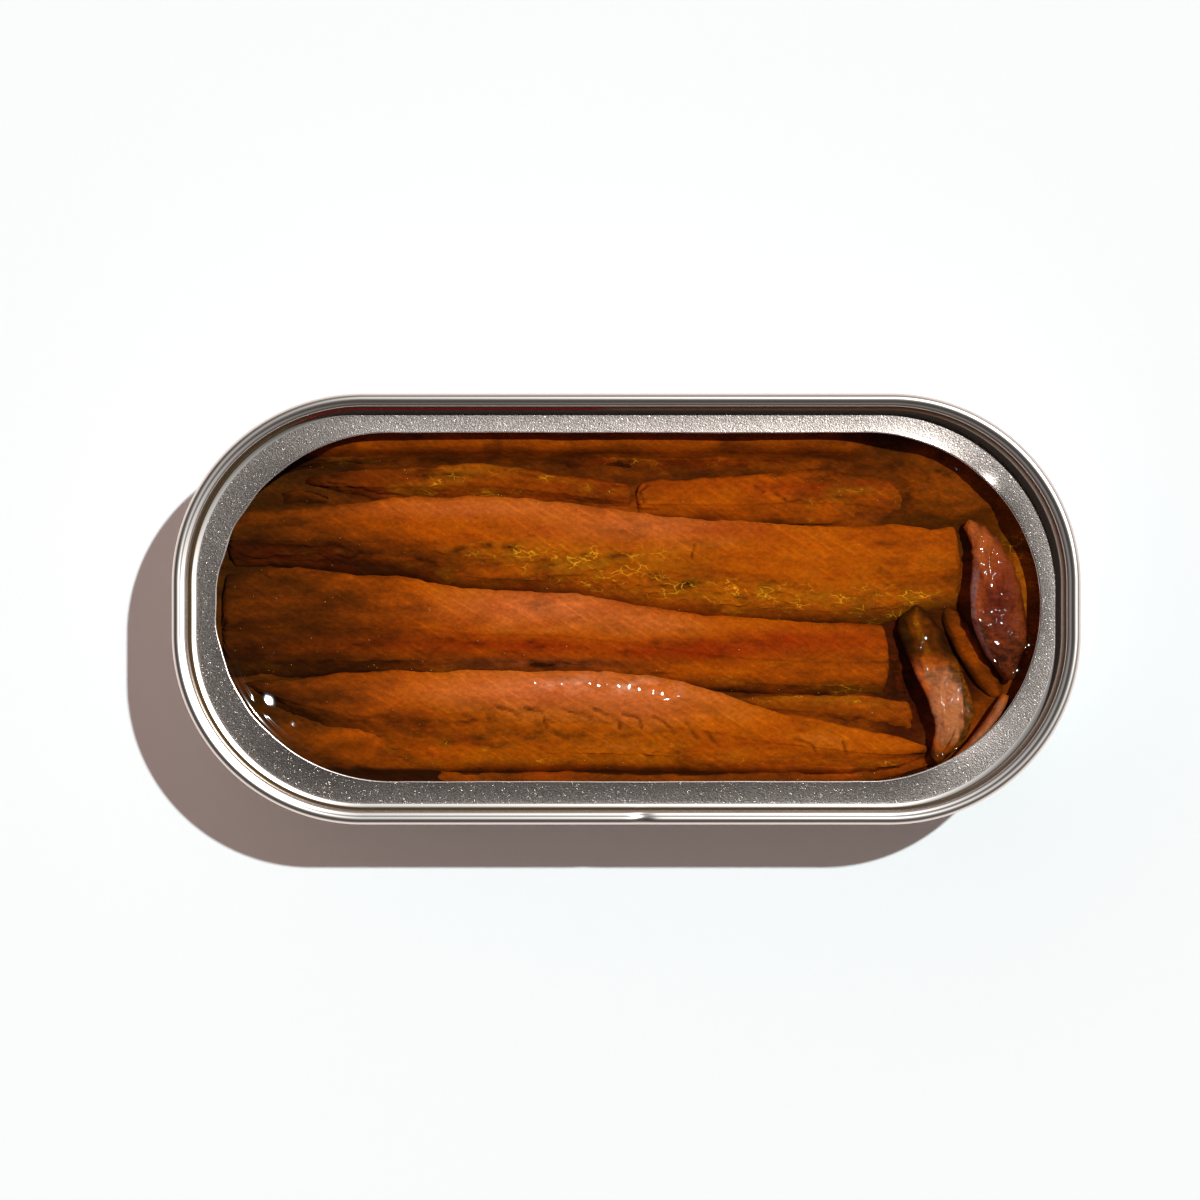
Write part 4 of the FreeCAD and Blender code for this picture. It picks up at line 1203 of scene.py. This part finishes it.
def ring_metal():
    """Rolled aluminium: the flat ring is etched to a satin that sparkles, the pressed seam is brighter.

    A brown tint on the seam's inner wall is partly varnish and partly painted shade, weaker toward the
    right-hand end; a red line runs along its foot at the back.
    """
    material, tree = new_material("satin_grained_aluminium")
    grained, red_foot_line, varnish_and_wall_shade = [add(tree, "Attribute", {"attribute_name": name}).outputs["Fac"]
                                   for name in ("grained", "red_foot_line", "varnish_and_wall_shade")]
    grain = add(tree, "TexNoise", {"Scale": 1.0, "Detail": 1.0, "Roughness": 0.6},
                Vector=in_mm(tree, METAL_GRAIN))
    height = add(tree, "Math", {"operation": "MULTIPLY"}, i0=grain, i1=grained)
    crystal = add(tree, "TexVoronoi", {"Scale": 1.0}, Vector=in_mm(tree, CRYSTALS))
    facing = add(tree, "MapRange", {"From Min": 0.70, "From Max": 0.80}, Value=crystal.outputs["Color"])
    facet = add(tree, "Math", {"operation": "MULTIPLY"}, i0=crystal, i1=facing)
    raised = add(tree, "Math", {"operation": "MULTIPLY"}, i0=facet, i1=grained)
    rougher = add(tree, "Math", {"operation": "ADD"}, i0=height, i1=raised)
    shape = add(tree, "Bump", {"Strength": 0.7, "Distance": 0.019 * MM}, Height=rougher)
    dull = add(tree, "MapRange", {"From Min": 0.66, "From Max": 0.34, "To Min": 0.4, "To Max": 0.85},
               Value=height)
    spread = add(tree, "Math", {"operation": "MULTIPLY"}, i0=dull, i1=grained)
    metal = {"data_type": "RGBA", "i6": colour("#EADAD2"), "i7": colour("#826E66")}
    base = add(tree, "Mix", metal, i0=spread).outputs[2]
    # the brown is varnish with painted shade on the seam's inner wall
    for share, code in ((varnish_and_wall_shade, "#7C6440"), (red_foot_line, "#900C12")):
        base = add(tree, "Mix", {"data_type": "RGBA", "i7": colour(code)}, i0=share, i6=base).outputs[2]
    shade = add(tree, "MapRange", {"From Min": 0.0, "From Max": 1.0, "To Min": 0.30, "To Max": 0.29},
                Value=grained)
    surface = add(tree, "BsdfPrincipled", {"Metallic": 1.0}, Base_Color=base, Roughness=shade,
                  Normal=shape)
    add(tree, "OutputMaterial", Surface=surface)
    return material


def pale_floor():
    """Plain matt white table: no shine, so only the tin's shadow shows on it."""
    material, tree = new_material("matt_white_table")
    surface = add(tree, "BsdfPrincipled", {"Base Color": colour("#FBFBFB"), "Roughness": 1.0,
                                           "Specular IOR Level": 0.0})
    add(tree, "OutputMaterial", Surface=surface)
    return material


# ---- Stage ----
def stage():
    """The table, a hair under the tin so that the two don't share a plane, and one hard bluish lamp."""
    bpy.ops.mesh.primitive_plane_add(size=3.0, location=(0, 0, -0.0001))
    floor = bpy.context.object
    floor.name = "table"
    floor.data.materials.append(pale_floor())
    lamp = bpy.data.lights.new("sun", "SUN")
    lamp.energy = SUN_STRENGTH
    lamp.angle = math.radians(1.0)
    lamp.color = (0.88, 0.98, 1.0)
    sun = bpy.data.objects.new("sun", lamp)
    sun.rotation_mode = "QUATERNION"
    sun.rotation_quaternion = Vector(toward_sun).to_track_quat("Z", "Y")
    bpy.context.scene.collection.objects.link(sun)


def sky():
    """Warm soft fill, stronger from the left; the eye and reflections see white low down, dark overhead."""
    world = bpy.data.worlds.new("soft_studio")
    bpy.context.scene.world = world
    world.use_nodes = True
    tree = world.node_tree
    tree.nodes.clear()
    place = add(tree, "TexCoord")
    split = add(tree, "SeparateXYZ", Vector=place.outputs["Generated"])
    seen = stops(add(tree, "ValToRGB", Fac=split.outputs["Z"]),
                 [(0.0, "#FFFFFF"), (0.15, "#F2F0EE"), (0.35, "#A09D9A"), (0.6, "#45423F"), (0.8, "#282523"),
                  (1.0, "#1E1C1A")])
    toward = add(tree, "VectorMath", {"operation": "DOT_PRODUCT", "i1": (-0.86, 0.5, 0)},
                 i0=place.outputs["Generated"])
    sideways = add(tree, "MapRange", {"From Min": -1.0, "From Max": 1.0}, Value=toward.outputs["Value"])
    fill = stops(add(tree, "ValToRGB", Fac=sideways),
                 [(0.0, "#100C0B"), (0.5, "#735F5B"), (1.0, "#DDC1B6")])
    path = add(tree, "LightPath")
    direct = add(tree, "Math", {"operation": "MAXIMUM"}, i0=path.outputs["Is Camera Ray"],
                 i1=path.outputs["Is Glossy Ray"])
    eye = add(tree, "Math", {"operation": "MAXIMUM"}, i0=direct,
              i1=path.outputs["Is Transmission Ray"])
    mix = add(tree, "Mix", {"data_type": "RGBA"}, i0=eye, i6=fill, i7=seen)
    back = add(tree, "Background", {"Strength": 1.0}, Color=mix.outputs[2])
    add(tree, "OutputWorld", Surface=back)


def camera():
    lens = bpy.data.cameras.new("camera")
    lens.lens = LENS
    lens.sensor_width = 36
    lens.clip_end = 10
    eye = bpy.data.objects.new("camera", lens)
    eye.location = Vector(CAMERA_PLACE) * MM
    bpy.context.scene.collection.objects.link(eye)
    bpy.context.scene.camera = eye


# ---- Build ----
def dress(node, material):
    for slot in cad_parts[node].material_slots:
        slot.material = material


flesh = cured_flesh()
wet = wet_flesh()
rows_of_flesh = [row_piece(name, flesh) for name in ROWS]
strand = strand_piece("thin_strand", [flesh], 0.06, strand_marks, widen=0.7, beside=0.8)
twisted = strand_piece("twisted_end", [wet, flesh], 0.19, twisted_marks)
flap = strand_piece("edge_flap", [wet, flesh], 0.06, flap_marks, widen=0.4)
leaf = strand_piece("dark_leaf", [belly_flesh()], 0.26, leaf_marks)
pool = oil_piece(rows_of_flesh, [twisted, flap, leaf], clear_oil(), flesh)
specks("salt_specks", rows_of_flesh, 150, 5, 0.065, speck("pale_salt", "#F2D6A8"))
specks("golden_specks", rows_of_flesh, 420, 9, 0.07, speck("golden_scale", "#D08A20"))
ring = ring_piece(ring_metal())
dress("tin_body", drawn_metal())
stage()
sky()
camera()
bpy.context.scene.view_settings.view_transform = "Standard"
